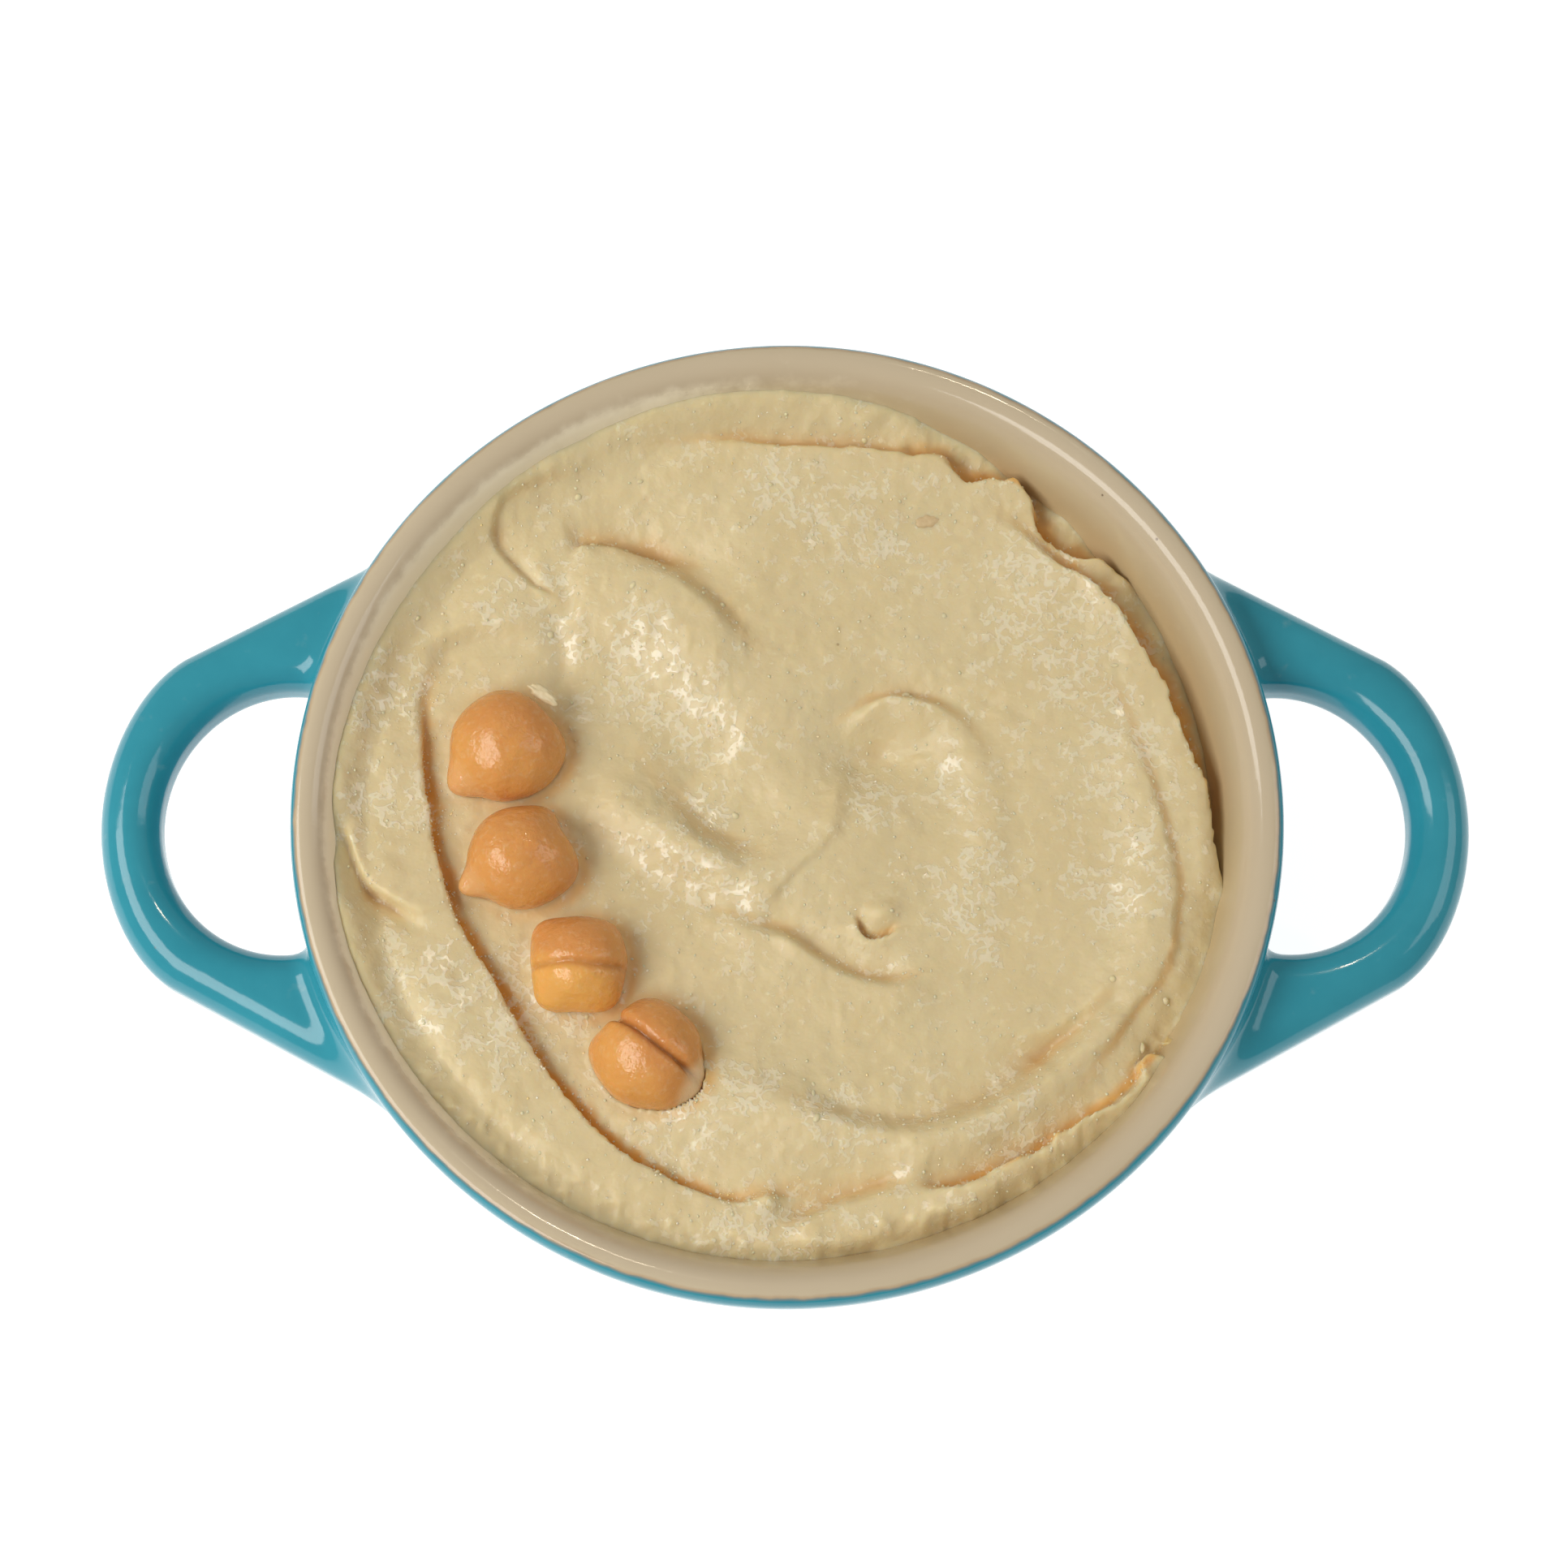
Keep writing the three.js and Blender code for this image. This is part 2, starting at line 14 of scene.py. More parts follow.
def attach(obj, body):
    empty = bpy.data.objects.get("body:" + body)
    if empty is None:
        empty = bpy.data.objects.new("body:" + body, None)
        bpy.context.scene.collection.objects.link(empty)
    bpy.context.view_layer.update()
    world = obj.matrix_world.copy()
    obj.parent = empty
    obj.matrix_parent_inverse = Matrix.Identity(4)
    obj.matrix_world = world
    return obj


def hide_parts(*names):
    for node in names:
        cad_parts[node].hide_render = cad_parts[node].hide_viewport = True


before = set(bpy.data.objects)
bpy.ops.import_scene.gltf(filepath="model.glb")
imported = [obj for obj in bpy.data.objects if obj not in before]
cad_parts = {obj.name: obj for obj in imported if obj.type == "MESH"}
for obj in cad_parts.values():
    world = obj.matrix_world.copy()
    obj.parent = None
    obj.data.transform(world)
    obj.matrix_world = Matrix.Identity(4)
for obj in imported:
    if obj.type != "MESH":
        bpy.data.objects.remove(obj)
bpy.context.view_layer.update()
MM = 0.001
print("solids:", sorted(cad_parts))

# %% [markdown]
# ## Camera
# The dish is seen from well above its front edge. A camera is placed by its elevation, its turn round
# the dish, a small roll and its distance, which is easier to read than a matrix of numbers.

# %% Camera
ELEVATION = math.radians(75.0)
TURN = math.radians(-3.5)
ROLL = math.radians(3.4)
DISTANCE = 330
LOOK_AT = Vector((-0.47, 2.18, 50))
LENS = 70.75


def place_camera():
    back = Vector((
        math.sin(TURN) * math.cos(ELEVATION),
        -math.cos(TURN) * math.cos(ELEVATION),
        math.sin(ELEVATION),
    ))
    side = (-back).cross(Vector((0, 0, 1))).normalized()
    top = side.cross(-back)
    right = side * math.cos(ROLL) + top * math.sin(ROLL)
    up = top * math.cos(ROLL) - side * math.sin(ROLL)
    turned = Matrix((right, up, back)).transposed().to_4x4()
    data = bpy.data.cameras.new("camera")
    data.lens = LENS
    data.sensor_width = 36
    data.clip_start = 0.01
    camera = bpy.data.objects.new("camera", data)
    camera.matrix_world = Matrix.Translation((LOOK_AT + back * DISTANCE) * MM) @ turned
    bpy.context.scene.collection.objects.link(camera)
    bpy.context.scene.camera = camera
    return camera


camera = place_camera()
print("camera at", [round(v, 3) for v in camera.matrix_world.translation])

# %% [markdown]
# ## Light
# A big soft window low on the left models the folds, a weaker one on the right draws the thin lines on
# the glaze, and a small warm lamp makes the sparkle on the wet grains. A pale sky fills the rest.

# %% Light
LAMPS = [
    # name, direction from the dish, distance, width, height, watts, colour
    ("window", (-0.60, -0.20, 0.77), 560, 520, 260, 2.15, (1.0, 0.985, 0.96)),
    ("right panel", (0.75, 0.08, 0.70), 800, 340, 420, 0.8, (0.97, 0.985, 1.0)),
    ("warm lamp", (0.15, 0.55, 1.0), 900, 25, 25, 0.36, (1.0, 0.86, 0.66)),
]
SKY = (1.0, 0.985, 0.95)
SKY_STRENGTH = 0.27


def light_the_table():
    for name, direction, distance, width, height, watts, colour in LAMPS:
        data = bpy.data.lights.new(name, "AREA")
        data.shape = "RECTANGLE"
        data.size = width * MM
        data.size_y = height * MM
        data.energy = watts
        data.color = colour
        lamp = bpy.data.objects.new(name, data)
        lamp.location = Vector(direction).normalized() * distance * MM
        lamp.rotation_euler = lamp.location.to_track_quat("Z", "Y").to_euler()
        bpy.context.scene.collection.objects.link(lamp)
    world = bpy.data.worlds.new("sky")
    world.use_nodes = True
    sky = world.node_tree.nodes["Background"]
    sky.inputs["Color"].default_value = (*SKY, 1)
    sky.inputs["Strength"].default_value = SKY_STRENGTH
    bpy.context.scene.world = world
    bpy.context.scene.view_settings.view_transform = "Standard"


light_the_table()
print(len(LAMPS), "lamps and a pale sky")

# %% [markdown]
# ## A short way to write materials
# Node trees are long to write out. `Field` wraps one socket, so that sums and products of fields add
# their own Math nodes, and `Finish.add` makes any other node from its type, settings and inputs.

# %% Fields and finishes
class Field:
    def __init__(self, finish, socket):
        self.finish = finish
        self.socket = socket

    def math(self, operation, *values):
        return self.finish.add("ShaderNodeMath", {"operation": operation}, dict(enumerate(values)))

    def __add__(self, other):
        return self.math("ADD", self, other)

    def __sub__(self, other):
        return self.math("SUBTRACT", self, other)

    def __rsub__(self, other):
        return self.math("SUBTRACT", other, self)

    def __mul__(self, other):
        return self.math("MULTIPLY", self, other)

    __radd__ = __add__
    __rmul__ = __mul__

    def between(self, low, high):
        """0 below low, 1 above high and a smooth ramp from one to the other."""
        settings = {"interpolation_type": "SMOOTHSTEP"}
        return self.finish.add("ShaderNodeMapRange", settings, {"Value": self, 1: low, 2: high})

    def absolute(self):
        return self.math("ABSOLUTE", self)


class Finish:
    def __init__(self, name):
        self.material = bpy.data.materials.new(name)
        self.material.use_nodes = True
        self.tree = self.material.node_tree
        self.tree.nodes.clear()

    def add(self, kind, settings=None, inputs=None, output=0):
        node = self.tree.nodes.new(kind)
        for key, value in (settings or {}).items():
            setattr(node, key, value)
        for key, value in (inputs or {}).items():
            if isinstance(value, Field):
                self.tree.links.new(value.socket, node.inputs[key])
            else:
                node.inputs[key].default_value = value
        return Field(self, node.outputs[output])

    def place(self):
        return self.add("ShaderNodeTexCoord", output="Object")

    def attribute(self, name):
        return self.add("ShaderNodeAttribute", {"attribute_name": name}, output="Fac")

    def noise(self, size, detail=2.0, rough=0.5, where=None):
        """Soft noise with blobs of about `size` millimetres."""
        inputs = {"Scale": 1 / (size * MM), "Detail": detail, "Roughness": rough}
        inputs["Vector"] = where or self.place()
        return self.add("ShaderNodeTexNoise", inputs=inputs)

    def cells(self, size):
        """Distance to the nearest of many scattered points about `size` millimetres apart."""
        return self.add("ShaderNodeTexVoronoi", inputs={"Scale": 1 / (size * MM), "Vector": self.place()})

    def mix(self, share, first, second):
        """A colour between two colours."""
        return self.add("ShaderNodeMix", {"data_type": "RGBA"}, {0: share, 6: first, 7: second}, output=2)

    def bump(self, height, millimetres, normal=None):
        inputs = {"Height": height, "Distance": millimetres * MM}
        if normal:
            inputs["Normal"] = normal
        return self.add("ShaderNodeBump", inputs=inputs, output="Normal")

    def surface(self, **inputs):
        """The finished material; coat_ior, say, is the socket that Blender calls Coat IOR."""
        named = {key.replace("_", " ").title().replace("Ior", "IOR"): value for key, value in inputs.items()}
        shader = self.add("ShaderNodeBsdfPrincipled", inputs=named)
        output = self.tree.nodes.new("ShaderNodeOutputMaterial")
        self.tree.links.new(shader.socket, output.inputs["Surface"])
        return self.material


def paint(red, green, blue):
    """A colour as it looks on a screen, 0 to 255, turned into the light it stands for."""
    light = [((v / 255 + 0.055) / 1.055) ** 2.4 if v > 10 else v / 255 / 12.92 for v in (red, green, blue)]
    return (*light, 1)


print("materials are written with Finish and Field")

# %% [markdown]
# ## A short way to make meshes
# Every piece is worked out in millimetres as an array of points and a list of faces. One function turns
# both into a smooth object, with any numbers that its material needs stored on the points.

# %% Meshes from arrays
RIPPLE_CELLS = 128
RIPPLE_SHIFT = (57.3, 41.9)  # the cell that falls on the middle of the dish


def smoothstep(low, high, value):
    """0 at low, 1 at high and a smooth ramp from one to the other."""
    t = np.clip((value - low) / (high - low), 0, 1)
    return t * t * (3 - 2 * t)


def make_piece(name, points, faces, material, **attributes):
    mesh = bpy.data.meshes.new(name)
    mesh.from_pydata((np.asarray(points) * MM).tolist(), [], faces)
    mesh.shade_smooth()
    for key, values in attributes.items():
        layer = mesh.attributes.new(key, "FLOAT", "POINT")
        layer.data.foreach_set("value", np.asarray(values, dtype=np.float32))
    mesh.materials.append(material)
    piece = bpy.data.objects.new(name, mesh)
    bpy.context.scene.collection.objects.link(piece)
    print(name, len(mesh.vertices), "points,", sum(len(p.vertices) - 2 for p in mesh.polygons), "triangles")
    return piece


def ripple(x, y, size, seed):
    """Smooth random hills between -1 and 1, about `size` millimetres apart."""
    n = RIPPLE_CELLS
    grid = np.random.default_rng(seed).uniform(-1, 1, (n, n))
    u, v = x / size + RIPPLE_SHIFT[0], y / size + RIPPLE_SHIFT[1]
    i, j = np.floor(u).astype(int), np.floor(v).astype(int)
    s, t = smoothstep(0, 1, u - i), smoothstep(0, 1, v - j)
    near = grid[i % n, j % n] * (1 - s) + grid[(i + 1) % n, j % n] * s
    far = grid[i % n, (j + 1) % n] * (1 - s) + grid[(i + 1) % n, (j + 1) % n] * s
    return near * (1 - t) + far * t


print("pieces are made with make_piece, uneven ground with ripple")

# %% [markdown]
# ## The dish's profile
# The bowl is thrown or pressed round, so one profile turned about the axis gives it: foot ring, wall,
# rolled lip and inner wall. The numbers are those of the solid; the curves are only sampled more finely.

# %% Profile
DISH = {
    "height": 50, "rim": 53.3, "outer_roll": 2.1, "crest": 51.8, "inner_roll": 3.0, "mouth": 48.8,
    "floor": 4.6, "inset": 9.5, "corner": 7, "wall": 4.4, "foot_outer": 36, "foot_inner": 31.5, "recess": 1.6,
}
MOUTH_HEIGHT = DISH["height"] - DISH["inner_roll"]
INNER_TOP = DISH["mouth"]
CORNER_HEIGHT = DISH["floor"] + DISH["corner"]
INNER_BOTTOM = INNER_TOP - DISH["inset"]
COLOUR_LINE = 49.8  # height on the lip's outer roll where cream glaze ends and teal begins


def inner_wall(z):
    return INNER_BOTTOM + DISH["inset"] * (z - CORNER_HEIGHT) / (MOUTH_HEIGHT - CORNER_HEIGHT)


def bend(start, pull, end, steps):
    """A quadratic curve, without its first point."""
    t = (np.arange(steps) + 1)[:, None] / steps
    start, pull, end = map(np.array, (start, pull, end))
    return start * (1 - t) ** 2 + 2 * pull * t * (1 - t) + end * t * t


def straight(start, end, steps):
    return np.linspace(start, end, steps + 1)[1:]


def dish_profile():
    d = DISH
    top, bottom = INNER_TOP + d["wall"], INNER_BOTTOM + d["wall"]
    lip = d["height"] - d["outer_roll"]
    knots = [(0, d["recess"]), (d["foot_inner"] - 1, d["recess"]), (d["foot_inner"], 0), (d["foot_outer"], 0),
             (d["foot_outer"] + 0.9, d["recess"]), (bottom, CORNER_HEIGHT - 2), (top - 0.3, MOUTH_HEIGHT - 3),
             (d["rim"], lip), (d["crest"], d["height"]), (INNER_TOP, MOUTH_HEIGHT),
             (INNER_BOTTOM, CORNER_HEIGHT), (INNER_BOTTOM - 8, d["floor"]), (0, d["floor"])]
    line = [np.array([knots[0]]), straight(knots[0], knots[1], 4), straight(knots[1], knots[2], 3),
            straight(knots[2], knots[3], 6), straight(knots[3], knots[4], 3),
            bend(knots[4], (bottom - 0.6, d["recess"] + 0.4), knots[5], 12), straight(knots[5], knots[6], 24),
            bend(knots[6], (d["rim"], MOUTH_HEIGHT - 1), knots[7], 8),
            bend(knots[7], (d["rim"], d["height"]), knots[8], 14),
            bend(knots[8], (inner_wall(d["height"]), d["height"]), knots[9], 16),
            straight(knots[9], knots[10], 22),
            bend(knots[10], (INNER_BOTTOM - 0.6, d["floor"]), knots[11], 10),
            straight(knots[11], knots[12], 3)]
    return soften(np.vstack(line), 3)


def soften(line, times):
    """Round the small corners of a profile, its two ends held."""
    line = line.copy()
    for _ in range(times):
        line[1:-1] = line[1:-1] * 0.5 + (line[:-2] + line[2:]) * 0.25
    return line


profile = dish_profile()
print("profile of", len(profile), "points, rim at", profile[:, 0].max().round(2), "mm")

# %% [markdown]
# ## Glaze
# Glaze is coloured glass over clay: a sharp coat with a soft body colour under it. The cream one runs
# over the lip and stops on its outer roll, where the teal starts with a thin brownish edge. The foot
# ring is wiped bare before firing. `run` is the way along the profile from the colour line, positive
# outside, so one material can tell inside, outside and foot apart.

# %% Glaze material
CREAM = paint(214, 200, 170)
CREAM_DEEP = paint(200, 182, 146)
LIP_BLUSH = paint(204, 186, 160)
WALL_PAINTED_SHADE = paint(194, 168, 120)
BREAK_BROWN = paint(176, 132, 92)
TEAL = paint(58, 158, 176)
TEAL_DEEP = paint(22, 122, 142)
BARE_CLAY = paint(196, 174, 146)
SPECK = paint(98, 72, 50)
SMEAR_PAINTED_LIGHT = paint(254, 244, 218)


def glaze_material(name, bare_from=None):
    f = Finish(name)
    run = f.attribute("run")
    wander = (f.noise(2.6) - 0.5) * 0.5
    outside = (run + wander).between(-0.12, 0.18)
    broken = (run + wander).absolute().between(0.45, 0.05)
    cream = f.mix(f.noise(22, 3), CREAM, CREAM_DEEP)
    on_lip = (run + 2.6).absolute().between(3.2, 1.4)
    cream = f.mix(on_lip * 0.55, cream, LIP_BLUSH)
    # painted shade and warm reflection: the inner wall darker and warmer further down towards the hummus
    cream = f.mix(run.between(-4, -10) * 0.6, cream, WALL_PAINTED_SHADE)
    teal = f.mix((f.noise(14, 4, 0.6) - 0.2) * 0.9, TEAL, TEAL_DEEP)
    colour = f.mix(outside, cream, teal)
    colour = f.mix(broken * 0.4, colour, BREAK_BROWN)
    specks = f.cells(3.4).between(0.065, 0.03) * f.noise(9).between(0.5, 0.6)
    colour = f.mix(specks * 0.8, colour, SPECK)
    # the hummus smear, painted much paler than the paste: painted light that lifts the shade on that wall
    smeared = (f.attribute("smear") + (f.noise(3, 3, 0.6) - 0.5) * 0.9).between(0.1, 0.95)
    colour = f.mix(smeared * 0.95, colour, SMEAR_PAINTED_LIGHT)
    roughness = 0.09 + f.noise(6) * 0.06 + smeared * 0.3
    if bare_from is not None:
        bare = run.between(bare_from, bare_from + 0.6)
        colour = f.mix(bare, colour, BARE_CLAY)
        roughness = roughness + bare * 0.6
    normal = f.bump(f.noise(4.5, 2), 0.05)
    normal = f.bump(f.noise(0.8, 2), 0.006, normal)
    return f.surface(base_color=colour, roughness=roughness, normal=normal, ior=1.5)


print("glaze: cream to", COLOUR_LINE, "mm on the outside of the lip, teal below it")

# %% [markdown]
# ## The bowl
# Turning the profile in even steps gives clean rings of four-sided faces, which glossy glaze needs.
# A very slight waver in radius keeps the rim from looking machined. Hummus that was wiped up the wall
# on the left leaves a thin smear there, painted much paler than the paste to lift the shade on that
# wall: painted light.

# %% Along the profile
LIP_FROM = 52  # radius past which the outside belongs to the lip's roll

profile_way = np.concatenate([[0], np.cumsum(np.hypot(*np.diff(profile, axis=0).T))])
outside = np.arange(len(profile)) < profile[:, 1].argmax()
lip = outside & (profile[:, 0] > LIP_FROM)
line_way = np.interp(COLOUR_LINE, profile[lip, 1], profile_way[lip])
foot_run = line_way - np.interp(DISH["foot_outer"] + 0.5, profile[:30, 0], profile_way[:30])
print("the foot is bare from", round(foot_run, 1), "mm below the colour line")

# %% The bowl
TURNS = 300
WAVER = 0.07
LINE_DIP = 0.15  # the colour line runs a little lower on one side
SMEAR_MIDDLE = 165  # degrees
SMEAR_SPREAD = 72


def waver(angle, z):
    uneven = np.sin(2 * angle + 0.6) + 0.6 * np.sin(4 * angle + 2.1) + 0.3 * np.sin(6 * angle)
    return WAVER * uneven * smoothstep(30, 50, z)


def smear(angle, z):
    away = (np.degrees(angle) - SMEAR_MIDDLE + 540) % 360 - 180
    return 1.1 * np.exp(-((away / SMEAR_SPREAD) ** 4)) * smoothstep(50.0, 47.8, z)


def bowl_skin(rings):
    """Four-sided faces from ring to ring, and a fan to the middle at both ends."""
    turn = np.arange(TURNS)
    after = (turn + 1) % TURNS
    faces = []
    for start in np.arange(rings - 1) * TURNS:
        a, b = start + turn, start + after
        faces += np.stack([a, b, b + TURNS, a + TURNS], -1).tolist()
    under, floor = rings * TURNS, rings * TURNS + 1
    last = (rings - 1) * TURNS
    for a, b in zip(turn.tolist(), after.tolist()):
        faces += [(under, b, a), (floor, last + a, last + b)]
    return faces


def make_bowl():
    angles = np.arange(TURNS) * 2 * np.pi / TURNS
    rings = profile[1:-1]
    radius = rings[:, :1] + waver(angles, rings[:, 1:])
    height = np.repeat(rings[:, 1:], TURNS, 1)
    points = np.stack([radius * np.cos(angles), radius * np.sin(angles), height], -1).reshape(-1, 3)
    points = np.vstack([points, [[0, 0, profile[0, 1]], [0, 0, profile[-1, 1]]]])
    run = line_way - profile_way[1:-1, None] + LINE_DIP * np.cos(angles + 1.0)
    run = np.concatenate([run.ravel(), [line_way, line_way - profile_way[-1]]])
    smeared = smear(angles, rings[:, 1:]) * ~outside[1:-1, None]
    smeared = np.concatenate([smeared.ravel(), [0, 0]])
    glaze = glaze_material("two_glazes", bare_from=foot_run)
    return make_piece("glazed_bowl", points, bowl_skin(len(rings)), glaze, run=run, smear=smeared)


bowl = make_bowl()

# %% [markdown]
# ## The handles
# Each handle is a flat loop with rounded edges that melts into the wall. A loop made of tubes would
# show a seam there, so the shape is written as a distance: how far a point is from the loop and from
# the wall, blended where both are near. A skin is then laid where the distance is zero.

# %% Distance to the handle
HANDLE = {
    "middle": 41, "thickness": 8.6, "rounding": 3.5, "tip": 74.8, "shoulder_x": 66.5, "shoulder_y": 18.4,
    "slope": 0.54, "root_x": 36, "hole_x": 54.5, "hole_rx": 13.7, "hole_ry": 14.8,
}
FILLET = 3.2
BURIED = 1.6  # how far the handle piece reaches into the wall
SUNK = 0.04  # its skin dips just under the wall where the blend has died out
HANDLE_TOP = 49.3  # the piece ends there, inside the lip
OUTSIDE = np.array([p for p in profile[:profile[:, 1].argmax() + 1] if p[1] > 2])


def handle_outline():
    h = HANDLE
    root_y = h["shoulder_y"] + h["slope"] * (h["shoulder_x"] - h["root_x"])
    t = np.linspace(0, 1, 25)[:, None]
    p = np.array([(h["shoulder_x"], h["shoulder_y"]), (h["shoulder_x"] + 5, h["shoulder_y"] - 3.2),
                  (h["tip"], 7.5), (h["tip"], 0)])
    upper = p[0] * (1 - t) ** 3 + 3 * p[1] * t * (1 - t) ** 2 + 3 * p[2] * t * t * (1 - t) + p[3] * t ** 3
    lower = upper[-2::-1] * (1, -1)
    return np.vstack([[(h["root_x"], root_y)], upper, lower, [(h["root_x"], -root_y)]])


OUTLINE = handle_outline()
print("the handle reaches from the middle to", OUTLINE[:, 0].max(), "mm")


def outline_distance(x, y):
    """Distance to the outline, negative inside."""
    best = np.full(x.shape, np.inf)
    inside = np.zeros(x.shape, bool)
    for (ax, ay), (bx, by) in zip(OUTLINE, np.roll(OUTLINE, -1, 0)):
        sx, sy = bx - ax, by - ay
        t = np.clip(((x - ax) * sx + (y - ay) * sy) / (sx * sx + sy * sy), 0, 1)
        best = np.minimum(best, np.hypot(x - ax - t * sx, y - ay - t * sy))
        crosses = (ay > y) != (by > y)
        if by != ay:
            inside ^= crosses & (x < ax + (y - ay) / (by - ay) * sx)
    return np.where(inside, -best, best)


def soft_min(a, b, width):
    near = np.maximum(width - np.abs(a - b), 0) / width
    return np.minimum(a, b) - near * near * width * 0.25


def loop_distance(x, y, z, flat):
    h = HANDLE
    side = flat + h["rounding"]
    level = np.abs(z - h["middle"]) - h["thickness"] / 2 + h["rounding"]
    outer = np.hypot(np.maximum(side, 0), np.maximum(level, 0))
    return outer + np.minimum(np.maximum(side, level), 0) - h["rounding"]


def band_distance(x, y):
    """In plan: inside the outline and outside the oval hole."""
    h = HANDLE
    u, v = (x - h["hole_x"]) / h["hole_rx"], y / h["hole_ry"]
    far = np.hypot(u, v) + 1e-9
    slope = np.hypot(u / h["hole_rx"], v / h["hole_ry"]) + 1e-9
    hole = (far - 1) * far / slope
    return -soft_min(-outline_distance(x, y), hole, 1.0)


def handle_distance(x, y, z, flat):
    """Negative inside the handle, which ends a little inside the wall and under the lip."""
    wall = np.hypot(x, y) - np.interp(z, OUTSIDE[:, 1], OUTSIDE[:, 0]) - waver(np.arctan2(y, x), z)
    loop = loop_distance(x, y, z, flat)
    joined = soft_min(loop, wall, FILLET) + SUNK
    return np.maximum(np.maximum(joined, -wall - BURIED), np.maximum(loop - FILLET, z - HANDLE_TOP))


# %% [markdown]
# ## A skin round a distance
# Space is cut into small cubes. Each cube that the surface passes gets one point, at the mean of where
# its edges are crossed, and each crossed edge joins the four cubes round it into a face. The points
# are then moved along the slope until the distance there is zero.

# %% Skin
def skin(values):
    inside = values < 0
    cells = tuple(n - 1 for n in values.shape)
    total = np.zeros(cells + (3,))
    count = np.zeros(cells)
    corners = [np.array([i, j, k]) for i in (0, 1) for j in (0, 1) for k in (0, 1)]
    for a in corners:
        for b in corners:
            if (b - a).sum() == 1 and np.abs(b - a).sum() == 1:
                va = values[tuple(slice(o, o + n) for o, n in zip(a, cells))]
                vb = values[tuple(slice(o, o + n) for o, n in zip(b, cells))]
                crossed = (va < 0) != (vb < 0)
                t = np.where(crossed, va / np.where(va == vb, 1, va - vb), 0)
                total += np.where(crossed[..., None], a + t[..., None] * (b - a), 0)
                count += crossed
    mixed = count > 0
    number = np.full(cells, -1)
    number[mixed] = np.arange(mixed.sum())
    points = np.argwhere(mixed) + total[mixed] / count[mixed][:, None]
    faces = []
    for axis in range(3):
        low = np.moveaxis(inside, axis, 0)[:-1, 1:-1, 1:-1]
        high = np.moveaxis(inside, axis, 0)[1:, 1:-1, 1:-1]
        numbers = np.moveaxis(number, axis, 0)
        ring = [numbers[:, :-1, :-1], numbers[:, 1:, :-1], numbers[:, 1:, 1:], numbers[:, :-1, 1:]]
        outward = low & ~high
        inward = high & ~low
        if axis == 1:
            outward, inward = inward, outward
        faces.append(np.stack([r[outward] for r in ring], -1))
        faces.append(np.stack([r[inward] for r in ring[::-1]], -1))
    return points, np.vstack(faces)


def settle(points, distance, times=4):
    """Move points onto the place where the distance is zero."""
    small = 0.02
    flattest = 0.3  # a slope taken as flatter than this would throw its point too far
    for _ in range(times):
        here = distance(points)
        slope = np.stack([distance(points + small * step) - here for step in np.eye(3)], -1) / small
        points = points - (here / np.maximum((slope ** 2).sum(-1), flattest))[:, None] * slope
    return points


print("a skin is laid with skin and settle")

# %% [markdown]
# ## The two handles
# The skin is laid round the right handle. The left one is the same, turned half round about the axis,
# which keeps its faces pointing outwards. On both, `run` counts down from the colour line, so all of
# the handle takes the teal glaze.

# %% The two handles
CUBE = 0.5
HANDLE_BOX = [(31, 77), (-44, 44), (31, 51.5)]


def make_handles():
    axes = [np.arange(low, high, CUBE) for low, high in HANDLE_BOX]
    flat = band_distance(*np.meshgrid(axes[0], axes[1], indexing="ij"))
    x, y, z = np.meshgrid(*axes, indexing="ij")
    points, faces = skin(handle_distance(x, y, z, flat[..., None]))
    points = points * CUBE + [low for low, _ in HANDLE_BOX]
    points = settle(points, lambda p: handle_distance(*p.T, band_distance(p[:, 0], p[:, 1])))
    other = points * (-1, -1, 1)
    both = np.vstack([points, other])
    faces = np.vstack([faces, faces + len(points)])
    run = (COLOUR_LINE - both[:, 2]) * 1.2
    return make_piece("glazed_handles", both, faces.tolist(), glaze_material("teal_glaze"), run=run)


handles = make_handles()

# %% [markdown]
# ## Spoon marks
# Nothing about the hummus surface is regular, but it isn't random either: it is a record of strokes.
# Each stroke is a line that stands up on one side and drops on the other, and it fades in and out. A few
# rounded rises and hollows, and the way the paste climbs the wall, complete the relief. The same
# strokes shape the solid; here they are worked out on a fine grid.
#
# Walking along a stroke's points, the paste stands up by `lip` on the left hand, over a width of about
# `reach`, and drops by `groove` on the right hand, over a width of `foot`. `edge` is how soft the step
# between them is, and `overhang` how far the lip leans over the groove.

